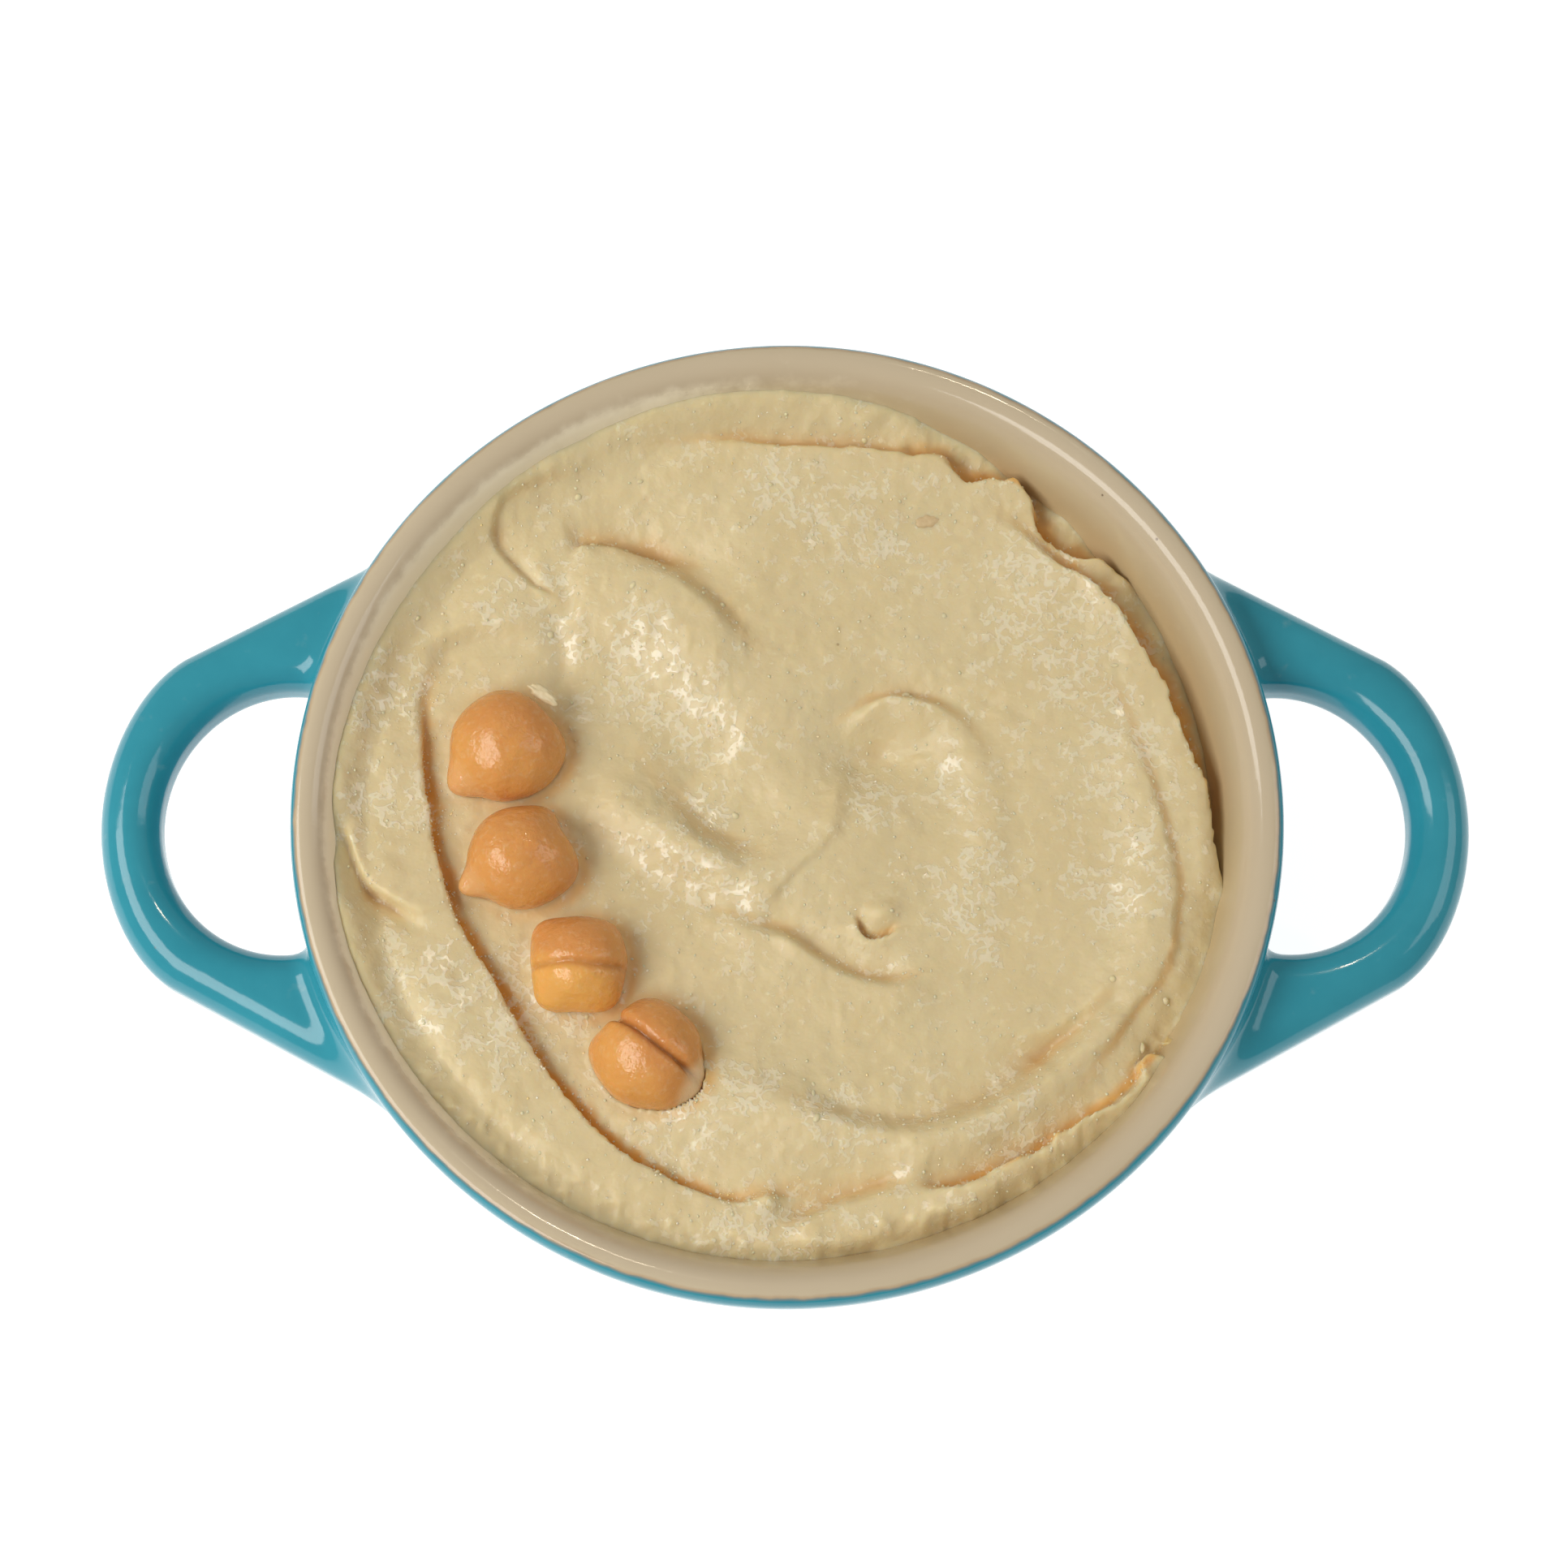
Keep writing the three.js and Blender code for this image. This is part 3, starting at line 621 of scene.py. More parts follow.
# %% Strokes
HUMMUS = {"level": 42.2, "dish": 2.0}
BANKS = {
    # angle, spread, rise, start radius
    "far smear": (97, 40, 2.4, 43.5),
    "left wall": (195, 62, 2.7, 45.2),
    "near left": (-125, 30, -1.4, 43.5),
    "near wall": (-70, 38, -2.4, 45.5),
    "right gap": (10, 36, -2.2, 44),
}
STROKES = {
    # points, lip, reach, groove, foot, edge, fade in, fade out, overhang
    "fold": ([(9, -39.2), (3, -41), (-2, -41.3), (-7, -41.8), (-18, -37), (-25.3, -29.2), (-31.3, -19.5),
              (-36.5, -10.5), (-39.2, -1), (-40.2, 9), (-39.8, 16), (-36.5, 20.7)],
             1.7, 9, 0.6, 1.5, 0.25, 0.3, 0.22, 0.8),
    "fold split": ([(-47.7, 2.5), (-47.3, -2.5), (-45.2, -7.6), (-41, -10.5), (-36.8, -12.6)],
                   0.6, 5, 1.7, 2.2, 0.6, 0.3, 0.3, 0.2),
    "outer edge": ([(40, 25), (36.5, 29.3), (33, 30.2), (29.5, 32.3), (27.8, 34.5), (27.3, 37.3),
                    (24.5, 38.8), (20.5, 39.4), (16, 42), (8, 42.7)], 0.3, 3, 3.0, 6, 0.4, 0.15, 0.4, 0.3),
    "far seam": ([(22, 39.5), (15, 42.2), (8, 42.7), (0, 43), (-6, 43.7), (-13, 43.1), (-20, 41.6)],
                 0.9, 5, 0.8, 1.8, 0.55, 0.15, 0.5, 0.2),
    "right edge": ([(47.9, -11), (46.9, -3), (44.5, 7), (41.3, 15.5), (38, 21.8), (34.5, 26), (30, 29.3),
                    (26.5, 32.7), (20.5, 37.3)], 1.0, 5, 2.8, 6, 0.3, 0.06, 0.35, 0.4),
    "ring ridge": ([(4, -39.4), (10, -38.6), (17, -35.8), (24, -31.6), (30, -26.6), (35, -20.5),
                    (38.6, -13.5), (39.5, -5), (38, 4), (34.5, 12), (30, 18)],
                   1.7, 3.2, -1.7, 3.2, 0.5, 0.2, 0.4, 0),
    "ring line": ([(29.5, -30.8), (33.5, -26), (37, -21.5), (40, -17.5), (42, -11), (42, -5), (40.5, 1),
                   (38, 9.5), (35, 15.5), (27, 23)], 0.3, 2, 0.5, 2.2, 0.7, 0.15, 0.45, 0),
    "lower right": ([(18.5, -27.3), (24, -25.4), (28, -23.9), (32, -21.7), (35, -18.7), (38, -15)],
                    0.3, 3, 1.9, 5, 1.1, 0.45, 0.3, 0),
    "lower seam": ([(38, -14), (34, -20.5), (29, -25.5), (24, -29.8), (18, -32.8), (12, -33.7), (5, -32.5),
                    (-2, -30), (-9, -28.5)], 0.9, 4, 1.4, 4, 1.4, 0.2, 0.3, 0),
    "channel": ([(46, -17), (41.5, -24), (35.5, -30.3), (30, -34.2), (25.5, -37.2), (20.8, -39.1),
                 (17.5, -40.3), (14.3, -40.4), (12, -39.3)], 1.2, 3, 1.5, 3, 0.35, 0.25, 0.12, 0.4),
    "outer roll": ([(42, -22), (35.5, -31.5), (29, -36.8), (22, -40.3), (14, -42.8), (6, -44.5), (-2, -46),
                    (-12, -45)], 1.0, 2.6, -1.0, 2.4, 0.5, 0.2, 0.3, 0),
    "near seam": ([(15, -39.2), (9.5, -40.6), (5, -42), (1, -43.8), (-2, -46)],
                  0.7, 3, 1.4, 2.8, 0.9, 0.3, 0.25, 0),
    "tongue": ([(17, -15.5), (21, -10), (23.5, -3), (23, 3.5), (21, 8.5), (17.5, 12.3), (13, 14)],
               0.7, 5, 0.15, 4, 2.2, 0.4, 0.3, 0),
    "tongue top": ([(23, 5), (21.5, 8.8), (19, 11.8), (16, 13.6), (12, 14.3), (9, 13.7), (6.5, 12), (3.5, 9)],
                   0.9, 4, 1.2, 2.8, 0.6, 0.55, 0.35, 0),
    "tongue side": ([(7, 4), (6, 0.2), (3, -3.5), (0, -6.6), (-2, -9.6), (-2.6, -11.5)],
                    0.45, 12, -0.95, 4, 0.6, 0.35, 0.2, 0),
    "heel": ([(17, -15.8), (14.5, -17.2), (11, -17.9), (7, -17), (3, -14.9), (0, -12.6), (-4, -11.3),
              (-10, -9), (-16, -6.2)], 1.0, 5, 0.9, 3.0, 0.8, 0.2, 0.55, 0),
    "hollow rim": ([(1, -4.6), (-3, -4.2), (-7, -2.9), (-10, -0.9), (-13, 2.2), (-16.5, 6.5), (-21, 10.5)],
                   1.1, 5, 1.1, 5.5, 1.8, 0.3, 0.6, 0),
    "hollow bank": ([(-1, -10.5), (-5, -8.5), (-12, -5.5), (-18, -1.5), (-24, 4)],
                    -1.2, 6, -0.9, 5, 3, 0.3, 0.2, 0),
    "crest": ([(-2.5, 15), (-4, 19), (-8, 24.3), (-13, 27.9), (-18, 29.8), (-25, 31)],
              1.6, 6, 0.4, 5, 1.3, 0.35, 0.4, 0.2),
    "crest tip": ([(-7, 27), (-13, 29.4), (-18, 30.9), (-21.5, 31.5), (-25, 31)],
                  0.5, 2, 1.0, 3.0, 0.6, 0.5, 0.12, 0.3),
    "crest slope": ([(-2, 5), (-6, 10), (-12, 15.5), (-18, 20), (-28, 23)],
                    -1.7, 9, -1.3, 8, 6.5, 0.2, 0.15, 0),
    "crest valley": ([(-26, 32.5), (-20, 32.5), (-14, 31.5), (-8, 30), (-3, 29.5)],
                     -0.9, 4, 0.9, 3, 0.5, 0.3, 0.4, 0),
    "corner": ([(-24, 23.5), (-26, 25.3), (-28.5, 27), (-31, 29.3), (-32.7, 32), (-31.5, 36), (-27, 38.8),
                (-20, 40.6)], 0.5, 4, 0.4, 1.4, 0.4, 0.15, 0.35, 0.1),
    "corner streak": ([(-28.8, 30.6), (-26.8, 27), (-24.4, 23)], 0.6, 1, -0.6, 1, 0.4, 0.4, 0.4, 0),
    "trough head": ([(-40, 13), (-39, 18.7), (-36, 20.9), (-30, 21.4), (-24.5, 20.5)],
                    0.7, 4.5, 0.5, 3.5, 1.2, 0.35, 0.35, 0),
    "collar": ([(-25, 28), (-24.3, 20), (-24.5, 10)], 0.4, 4, 0.5, 3, 1.2, 0.5, 0.5, 0),
    "hook": ([(12.6, -11.2), (10.8, -12.9), (8.6, -13.2), (7.4, -11.8), (7.5, -9.4)],
             0.5, 1.4, 1.3, 1.1, 0.25, 0.3, 0.35, 0.3),
}
MOUNDS = {
    # centre x, centre y, half-length, half-width, turn, rise
    "middle hollow": (-5, 2.5, 7, 5, -35, -1.3),
    "valley": (10, 8, 6.6, 3.9, 0, -3.2),
    "near left roll": (-38.5, -22, 16, 5.5, -57, 1.4),
    "far left roll": (-44.3, 7, 14, 4, 88, 0.6),
    "chickpea trough": (-31, -6, 26, 7, -62, -0.8),
    "near bank": (-1, -31.5, 14, 5, -8, 2.4),
    "hook lump": (10.4, -10.3, 1.9, 1.5, 60, 0.9),
    "pale facet": (5.2, 2.2, 3.0, 1.2, 75, 0.5),
    "tongue floor": (16, 0, 8, 5, 75, -1.0),
    "first dent": (22.3, 13.4, 1.9, 1.0, -20, -0.35),
    "second dent": (25.8, 12.2, 1.4, 0.8, -40, -0.35),
    "far right ledge": (35.5, 27, 5.5, 2.6, -52, 1.6),
    "lump": (-2.2, -41.6, 1.3, 1.2, 0, 1.0),
    "small lump": (0.3, -14, 1.8, 0.9, -35, 0.5),
}
OVERHANG_REACH = 1.6
print(len(STROKES), "strokes,", len(MOUNDS), "mounds and", len(BANKS), "banks at the wall")


# %% Relief from strokes
def walk(points):
    """A smooth curve through the points (Catmull-Rom), as short straight steps."""
    p = np.array([points[0], *points, points[-1]], float)
    steps = []
    for a, b, c, d in zip(p[:-3], p[1:-2], p[2:-1], p[3:]):
        for t in np.arange(8) / 8:
            steps.append(0.5 * (2 * b + (c - a) * t + (2 * a - 5 * b + 4 * c - d) * t * t
                                + (3 * b - a - 3 * c + d) * t ** 3))
    return np.array([*steps, p[-1]])


def nearest(line, x, y):
    """Signed distance (positive on the left hand), share of the length, and the left hand's direction."""
    lengths = np.hypot(*np.diff(line, axis=0).T)
    walked = np.concatenate([[0], np.cumsum(lengths)])
    best = np.full(x.shape, np.inf)
    hand, share, left_x, left_y = (np.ones(x.shape) for _ in range(4))
    for (ax, ay), (bx, by), length, start in zip(line[:-1], line[1:], lengths, walked):
        sx, sy = (bx - ax) / length, (by - ay) / length
        t = np.clip((x - ax) * sx + (y - ay) * sy, 0, length)
        dx, dy = x - ax - t * sx, y - ay - t * sy
        away = np.hypot(dx, dy)
        closer = away < best
        best = np.where(closer, away, best)
        hand = np.where(closer, np.where(sx * dy - sy * dx < 0, -1, 1), hand)
        share = np.where(closer, (start + t) / walked[-1], share)
        left_x = np.where(closer, -sy, left_x)
        left_y = np.where(closer, sx, left_y)
    return best * hand, share, left_x, left_y


def hummus_relief(x, y):
    """Height of the surface, and how far each point leans over sideways."""
    z = HUMMUS["level"] + HUMMUS["dish"] * (x * x + y * y) / INNER_TOP ** 2
    lean_x, lean_y = np.zeros(x.shape), np.zeros(x.shape)
    for points, lip, reach, groove, foot, edge, start, end, over in STROKES.values():
        away, share, left_x, left_y = nearest(walk(points), x, y)
        strength = smoothstep(0, start, share) * smoothstep(0, end, 1 - share)
        soft = edge * (4 - 3 * strength)
        up = smoothstep(-soft, soft, away)
        z += strength * up * lip * np.exp(-((away / reach) ** 2))
        z -= strength * (1 - up) * groove * np.exp(-((away / foot) ** 2))
        push = strength * up * over * np.exp(-((away / OVERHANG_REACH) ** 2))
        lean_x -= push * left_x
        lean_y -= push * left_y
    for centre_x, centre_y, length, width, turn, rise in MOUNDS.values():
        c, s = math.cos(math.radians(turn)), math.sin(math.radians(turn))
        along = ((x - centre_x) * c + (y - centre_y) * s) / length
        across = ((y - centre_y) * c - (x - centre_x) * s) / width
        z += rise * np.exp(-along ** 2 - across ** 2)
    radius = np.hypot(x, y)
    for angle, spread, rise, start in BANKS.values():
        away = (np.degrees(np.arctan2(y, x)) - angle + 540) % 360 - 180
        z += rise * np.exp(-((away / spread) ** 2)) * smoothstep(start, INNER_TOP, radius)
    return z, lean_x, lean_y


print("middle of the hummus:", hummus_relief(np.zeros(1), np.zeros(1))[0][0].round(1), "mm high")

# %% [markdown]
# ## Chickpeas, as shapes
# A cooked chickpea is a ball with a beak, a couple of blunt corners and a cleft where its two halves
# meet. The hummus needs to know where they sit before its own surface is made, so their shape comes
# first. A bump is a direction in degrees, a height and a width in radians; a cleft is a direction, how
# far it passes from the middle, its depth and its width.

# %% Chickpea shapes
CHICKPEAS = [
    {"at": (-30.7, 8), "across": 12.2, "high": 10.4, "sunk": 3.6,
     "bumps": [(-140, 1.7, 0.3), (-10, 0.5, 0.5), (40, -0.5, 0.4)], "cleft": (60, -3.2, 0.04, 0.9),
     "tip": 0.2, "gold": (-100, 0.3)},
    {"at": (-29, -4.6), "across": 11.2, "high": 9.8, "sunk": 2.6,
     "bumps": [(-150, 1.7, 0.26), (58, 0.6, 0.35), (-15, 0.9, 0.5), (30, -0.6, 0.25)],
     "cleft": (25, 1.5, 0.03, 0.9), "tip": 0.25, "gold": (-120, 0.3)},
    {"at": (-22.4, -16.3), "across": 10.3, "high": 9.2, "sunk": 2.4,
     "bumps": [(137, 1.1, 0.4), (-50, 0.8, 0.4), (-130, 1.0, 0.4), (45, 0.5, 0.4)],
     "cleft": (-2, -0.7, 0.35, 0.5), "tip": 0, "gold": (-110, 1.3)},
    {"at": (-14.9, -26.1), "across": 11.5, "high": 10, "sunk": 4.0,
     "bumps": [(-32, 0.9, 0.35), (175, 0.7, 0.35), (-60, 0.5, 0.4), (131, -1.1, 0.3), (85, 0.3, 0.4)],
     "cleft": (-38, 1.0, 0.75, 0.55), "tip": 1, "gold": (-150, 0.5)},
]


def chickpea_centre(pea):
    x, y = pea["at"]
    z = hummus_relief(np.array([float(x)]), np.array([float(y)]))[0][0]
    return np.array([x, y, z - pea["sunk"] + pea["high"] / 2])


def chickpea_rise(pea, n):
    """How far the skin stands out from the plain ball in each direction n."""
    rise = np.zeros(len(n))
    for direction, height, width in pea["bumps"]:
        turn = math.radians(direction)
        away = np.arccos(np.clip(n[:, 0] * math.cos(turn) + n[:, 1] * math.sin(turn), -1, 1))
        rise += height * np.exp(-((away / width) ** 2))
    return rise


def from_chickpea(pea, x, y):
    """How far each place is from the chickpea's middle, and how far its outline is, seen from above."""
    dx, dy = x - pea["centre"][0], y - pea["centre"][1]
    angle = np.arctan2(dy, dx)
    n = np.stack([np.cos(angle), np.sin(angle), 0 * angle], -1)
    edge = pea["across"] / 2 + chickpea_rise(pea, n.reshape(-1, 3)).reshape(angle.shape)
    return np.hypot(dx, dy), edge


for pea in CHICKPEAS:
    pea["centre"] = chickpea_centre(pea)
print("chickpea centres:", [pea["centre"].round(1).tolist() for pea in CHICKPEAS])

# %% [markdown]
# ## Hummus
# Hummus is a thick paste of ground chickpeas: soft, creamy and a little translucent, with fine grit
# that shows as tiny bumps and pale specks, and a film of moisture that shines in patches. Light that
# goes in comes out again nearby, which is what subsurface scattering gives.

# %% Hummus material
PASTE = paint(222, 203, 157)
PASTE_PALE = paint(234, 220, 180)
PAINTED_GLINT_WHITE = paint(243, 234, 208)
PASTE_PAINTED_SHADE = paint(196, 142, 76)
OIL_AND_WARM_SHADE = paint(232, 166, 64)
GRIT_DARK = paint(150, 116, 70)


def hummus_material():
    f = Finish("hummus_paste")
    tone = f.noise(9, 3, 0.6)
    colour = f.mix((tone - 0.3) * 0.8, PASTE, PASTE_PALE)
    # painted shade: the paste darker and warmer in the creases, the more so the deeper they are
    colour = f.mix(f.attribute("crease_shade") * 0.7, colour, PASTE_PAINTED_SHADE)
    # painted warm shade: golden and darker at the foot of the strokes and beside the chickpeas; glossier
    # there too
    oil_and_shade = f.attribute("oil_and_shade")
    colour = f.mix(oil_and_shade * 0.9, colour, OIL_AND_WARM_SHADE)
    pale = f.noise(0.9, 2).between(0.6, 0.72) * f.noise(5).between(0.45, 0.6)
    colour = f.mix(pale * 0.5, colour, PASTE_PALE)
    dark = f.cells(7).between(0.03, 0.015) * f.noise(11).between(0.5, 0.56)
    colour = f.mix(dark * 0.5, colour, GRIT_DARK)
    wet = f.attribute("wet")
    roughness = 0.42 - oil_and_shade * 0.2
    blotch = (f.noise(1.8, 3, 0.65) + wet * 0.18).between(0.6, 0.68)
    worms = (f.noise(1.0, 1) - 0.5).absolute().between(0.11, 0.05)
    shine = blotch * (worms * 0.75 + 0.15) * (wet * 0.5 + 0.5)
    # painted highlight: the bright streaks on wet patches are lightened in the colour, besides the coat's
    # real gloss
    colour = f.mix(shine * 0.6, colour, PAINTED_GLINT_WHITE)
    normal = f.bump(f.noise(1.6, 2, 0.6), 0.16)
    normal = f.bump(shine, 0.06, normal)
    return f.surface(base_color=colour, roughness=roughness, normal=normal, ior=1.42,
                     coat_weight=shine, coat_roughness=0.2, coat_ior=1.5,
                     subsurface_weight=0.6, subsurface_radius=(1.0, 0.75, 0.45), subsurface_scale=0.0016)


print("hummus material reads: crease, oil and wet")

# %% [markdown]
# ## Height of the hummus
# The strokes alone would look cast. Real paste tears along its edges, so the lines waver, most of all on
# the far right edge. Unevenness from finger-wide down to grain size is added, then the pocket that
# each chickpea presses.

# %% Height of the hummus
def fine_relief(x, y):
    crumbly = smoothstep(44.2, 45.6, np.hypot(x, y)) * smoothstep(-18, -34, y)
    return (0.22 * ripple(x, y, 8, 1) + 0.10 * ripple(x, y, 3.6, 2) + 0.06 * ripple(x, y, 1.7, 3)
            + 0.07 * ripple(x, y, 0.9, 4) + 0.25 * np.maximum(ripple(x, y, 1.5, 5) - 0.25, 0) ** 2
            + 0.45 * crumbly * np.maximum(ripple(x, y, 1.1, 6), 0))


def seat_chickpeas(x, y, z):
    """Press a pocket under each chickpea and let the paste climb a little against its side."""
    for pea in CHICKPEAS:
        distance, edge = from_chickpea(pea, x, y)
        z = z + 0.45 * np.exp(-((distance - edge * 0.9) / 0.8) ** 2)
        share = np.clip(distance / edge, 0, 1)
        pocket = pea["centre"][2] - pea["high"] / 2 * np.sqrt(1 - share ** 2) + 0.2
        z = np.where(share < 0.98, np.minimum(z, pocket), z)
    return z


def hummus_surface(x, y):
    """Height of the finished surface, and how far each point leans over sideways."""
    ragged = 0.6 + 1.9 * smoothstep(42, 45, np.hypot(x, y)) * smoothstep(0, 12, x)
    wobble_x = x + ragged * (0.3 * ripple(x, y, 3, 11) + 0.13 * ripple(x, y, 1.3, 12))
    wobble_y = y + ragged * (0.3 * ripple(x, y, 3, 13) + 0.13 * ripple(x, y, 1.3, 14))
    z, lean_x, lean_y = hummus_relief(wobble_x, wobble_y)
    z = seat_chickpeas(x, y, z + fine_relief(x, y))
    return z, lean_x, lean_y


def ground_height(x, y):
    return hummus_surface(np.array([float(x)]), np.array([float(y)]))[0][0]


print("pocket of the first chickpea:", ground_height(*CHICKPEAS[0]["at"]).round(1), "mm high")

# %% [markdown]
# ## Moisture, oil and painted shade
# Moisture shines in patches, and its brightest streaks are also lightened in the colour: a painted
# highlight. At the foot of the deeper strokes and on the right of each chickpea the paste is painted golden
# and darker: painted warm shade, where the paste is also glossier, as if oiled. Tiny drops of oil stand
# close to the fold. Each is one number at every point of the surface, which the material or the scatter
# tree reads by its name.

# %% Moisture
WET_PATCHES = [
    # centre and size of where moisture shines
    (-17, 18, 6.5), (-9, 11, 5.5), (-12, -4, 5), (-4, -9, 3.5), (-8, 1, 3), (19, 5, 4), (21, -4, 4),
    (19, -11, 4), (10, 3, 3), (37, -6, 6), (36, 8, 5), (31, 19, 6), (26, 28, 6), (-41, -20, 7), (-44, 2, 5),
    (-28, -22, 6), (-32, 25, 3), (6, -33, 4), (-11, -33, 5), (-4, -29, 3), (24, -34, 5), (0, 37, 6),
    (10, 32, 5), (-25.6, 28, 1.8), (-24.8, 24, 1.8), (-25.2, 20.5, 1.5), (-45, 14, 5), (-2, -44, 6),
]


def wetness(x, y):
    wet = 0.12 * np.ones(x.shape)
    for cx, cy, size in WET_PATCHES:
        wet += 1.1 * np.exp(-((x - cx) ** 2 + (y - cy) ** 2) / size ** 2)
    return np.clip(wet + 0.5 * ripple(x, y, 3.2, 21) * (wet > 0.1), 0, 1)


print(len(WET_PATCHES), "wet patches")

# %% Oil and painted warm shade
OIL_SHADE_STROKES = {
    # strength and width of the golden line at the foot of a stroke: painted warm shade, and glossier paste
    "fold": (1, 1.6), "right edge": (0.8, 1.6), "outer edge": (0.7, 1.6), "ring line": (0.3, 0.8),
    "channel": (0.7, 0.8), "corner": (0.15, 0.6), "heel": (0.3, 0.8), "crest tip": (0.3, 1.8),
    "far seam": (0.4, 0.9), "lower seam": (0.15, 1), "hook": (0.5, 0.7), "tongue top": (0.3, 0.8),
    "near seam": (0.2, 1.5), "hollow rim": (0.2, 2), "crest": (0.2, 2),
}


def oil_and_shade_lines(x, y):
    oil_and_shade = np.zeros(x.shape)
    uneven = 1 + 0.35 * ripple(x, y, 3.5, 23) + 0.25 * ripple(x, y, 1.2, 24)
    for name, (amount, width) in OIL_SHADE_STROKES.items():
        points, *_, start, end, _ = STROKES[name]
        away, share, _, _ = nearest(walk(points), x, y)
        strength = smoothstep(0, start, share) * smoothstep(0, end, 1 - share)
        line = np.exp(-((away / (width * uneven)) ** 4)) * smoothstep(0.25, -0.1, away)
        oil_and_shade = np.maximum(oil_and_shade, amount * strength * line)
    for pea in CHICKPEAS:
        distance, edge = from_chickpea(pea, x, y)
        # painted shadow: warm, darker paste beside each chickpea, strongest on its right, away from the
        # window
        pea_shadow_stain = 0.3 + 0.25 * (x - pea["centre"][0]) / edge
        oil_and_shade = np.maximum(oil_and_shade, pea_shadow_stain * np.exp(-((distance - edge - 0.4) / 0.9) ** 2))
    return oil_and_shade


def dewiness(x, y):
    """Where drops of oil stand: close to the foot of the fold, and a few anywhere."""
    away, share, _, _ = nearest(walk(STROKES["fold"][0]), x, y)
    beside = np.exp(-((away + 1.2) / 1.6) ** 2) * smoothstep(0.02, 0.3, share) * smoothstep(1, 0.85, share)
    return np.maximum(0.06 + beside * (0.8 + 0.8 * ripple(x, y, 3, 25)), 0)


def open_ground(x, y):
    """1 where nothing lies on the hummus, 0 under the chickpeas."""
    clear = np.ones(x.shape)
    for pea in CHICKPEAS:
        distance, edge = from_chickpea(pea, x, y)
        clear *= distance > edge - 0.2
    return clear


print(len(OIL_SHADE_STROKES), "strokes with oil at their foot")

# %% [markdown]
# ## The hummus mesh
# A square grid bent onto a disc has even cells and no pole in the middle. The surface meets the leaning
# wall further out where it stands higher, so that radius is found first, by halving, for a ring of
# directions. The edge then goes down the wall to the floor, which makes the hummus one closed body.

# %% The hummus mesh
RINGS = 145
INTO_WALL = 0.25  # the paste reaches just into the glaze, so that no gap shows
SIDE_RING = 30  # height of the ring of points that bends the side on its way down
DIRECTIONS = 1441
BLUR = 60  # steps of blurring, for the ground that creases are measured from


def on_disc(a, b):
    wide = np.abs(a) > np.abs(b)
    radius = np.where(wide, a, b)
    with np.errstate(divide="ignore", invalid="ignore"):
        angle = np.where(wide, np.pi / 4 * b / a, np.pi / 2 - np.pi / 4 * a / b)
    angle = np.nan_to_num(angle)
    return radius * np.cos(angle), radius * np.sin(angle)


def meeting_radius(u, v):
    turn = np.linspace(-np.pi, np.pi, DIRECTIONS)
    inside, outside = np.full(turn.shape, INNER_BOTTOM), np.full(turn.shape, INNER_TOP)
    for _ in range(10):
        middle = (inside + outside) / 2
        z = hummus_surface(middle * np.cos(turn), middle * np.sin(turn))[0]
        clear = inner_wall(z) > middle
        inside, outside = np.where(clear, middle, inside), np.where(clear, outside, middle)
    return np.interp(np.arctan2(v, u), turn, inside) + INTO_WALL


def blurred(values, times):
    for _ in range(times):
        padded = np.pad(values, 1, mode="edge")
        values = (padded[:-2, 1:-1] + padded[2:, 1:-1] + padded[1:-1, :-2] + padded[1:-1, 2:]) / 4
    return values


def closed_body(top, size):
    """The grid's faces, with its edge carried down the wall and closed on the floor."""
    index = np.arange(size * size).reshape(size, size)
    cells = np.stack([index[:-1, :-1], index[1:, :-1], index[1:, 1:], index[:-1, 1:]], -1)
    faces = cells.reshape(-1, 4).tolist()
    edge = np.concatenate([index[:-1, 0], index[-1, :-1], index[:0:-1, -1], index[0, :0:-1]])
    points, above = [top], edge
    down = [(inner_wall(SIDE_RING) + INTO_WALL, SIDE_RING), (INNER_BOTTOM - 1, DISH["floor"] + 2)]
    for radius, height in down:
        ring = top[edge] * (1, 1, 0)
        ring = ring / np.hypot(ring[:, 0], ring[:, 1])[:, None] * radius + (0, 0, height)
        below = sum(len(p) for p in points) + np.arange(len(edge))
        faces += np.stack([above, below, np.roll(below, -1), np.roll(above, -1)], -1).tolist()
        points.append(ring)
        above = below
    points = np.vstack([*points, [[0, 0, DISH["floor"] + 0.2]]])
    middle = np.full(len(above), len(points) - 1)
    faces += np.stack([above, middle, np.roll(above, -1)], -1).tolist()
    return points, faces


def make_hummus():
    steps = np.arange(-RINGS, RINGS + 1) / RINGS
    u, v = on_disc(*np.meshgrid(steps, steps, indexing="ij"))
    out = np.hypot(u, v)
    radius = meeting_radius(u, v)
    x, y = u * radius, v * radius
    z, lean_x, lean_y = hummus_surface(x, y)
    inward = smoothstep(1, 0.97, out)
    top = np.stack([x + lean_x * inward, y + lean_y * inward, z], -1).reshape(-1, 3)
    points, faces = closed_body(top, len(steps))
    clear = open_ground(x, y)
    numbers = {
        # painted shade in the creases: how far the surface lies under its blurred ground
        "crease_shade": smoothstep(0.25, 1.8, blurred(z, BLUR) - z) * smoothstep(1, 0.96, out),
        "wet": wetness(x, y),
        "oil_and_shade": oil_and_shade_lines(x, y) * (out < 0.995),
        "top": clear * (out < 0.985),
        "dewy": clear * (out < 0.97) * dewiness(x, y),
    }
    below = np.zeros(len(points) - len(top))
    numbers = {key: np.concatenate([values.ravel(), below]) for key, values in numbers.items()}
    return make_piece("swirled_hummus", points, faces, hummus_material(), **numbers)


hummus = make_hummus()
print("top of the hummus:", round(max(v.co.z for v in hummus.data.vertices) / MM, 1), "mm")

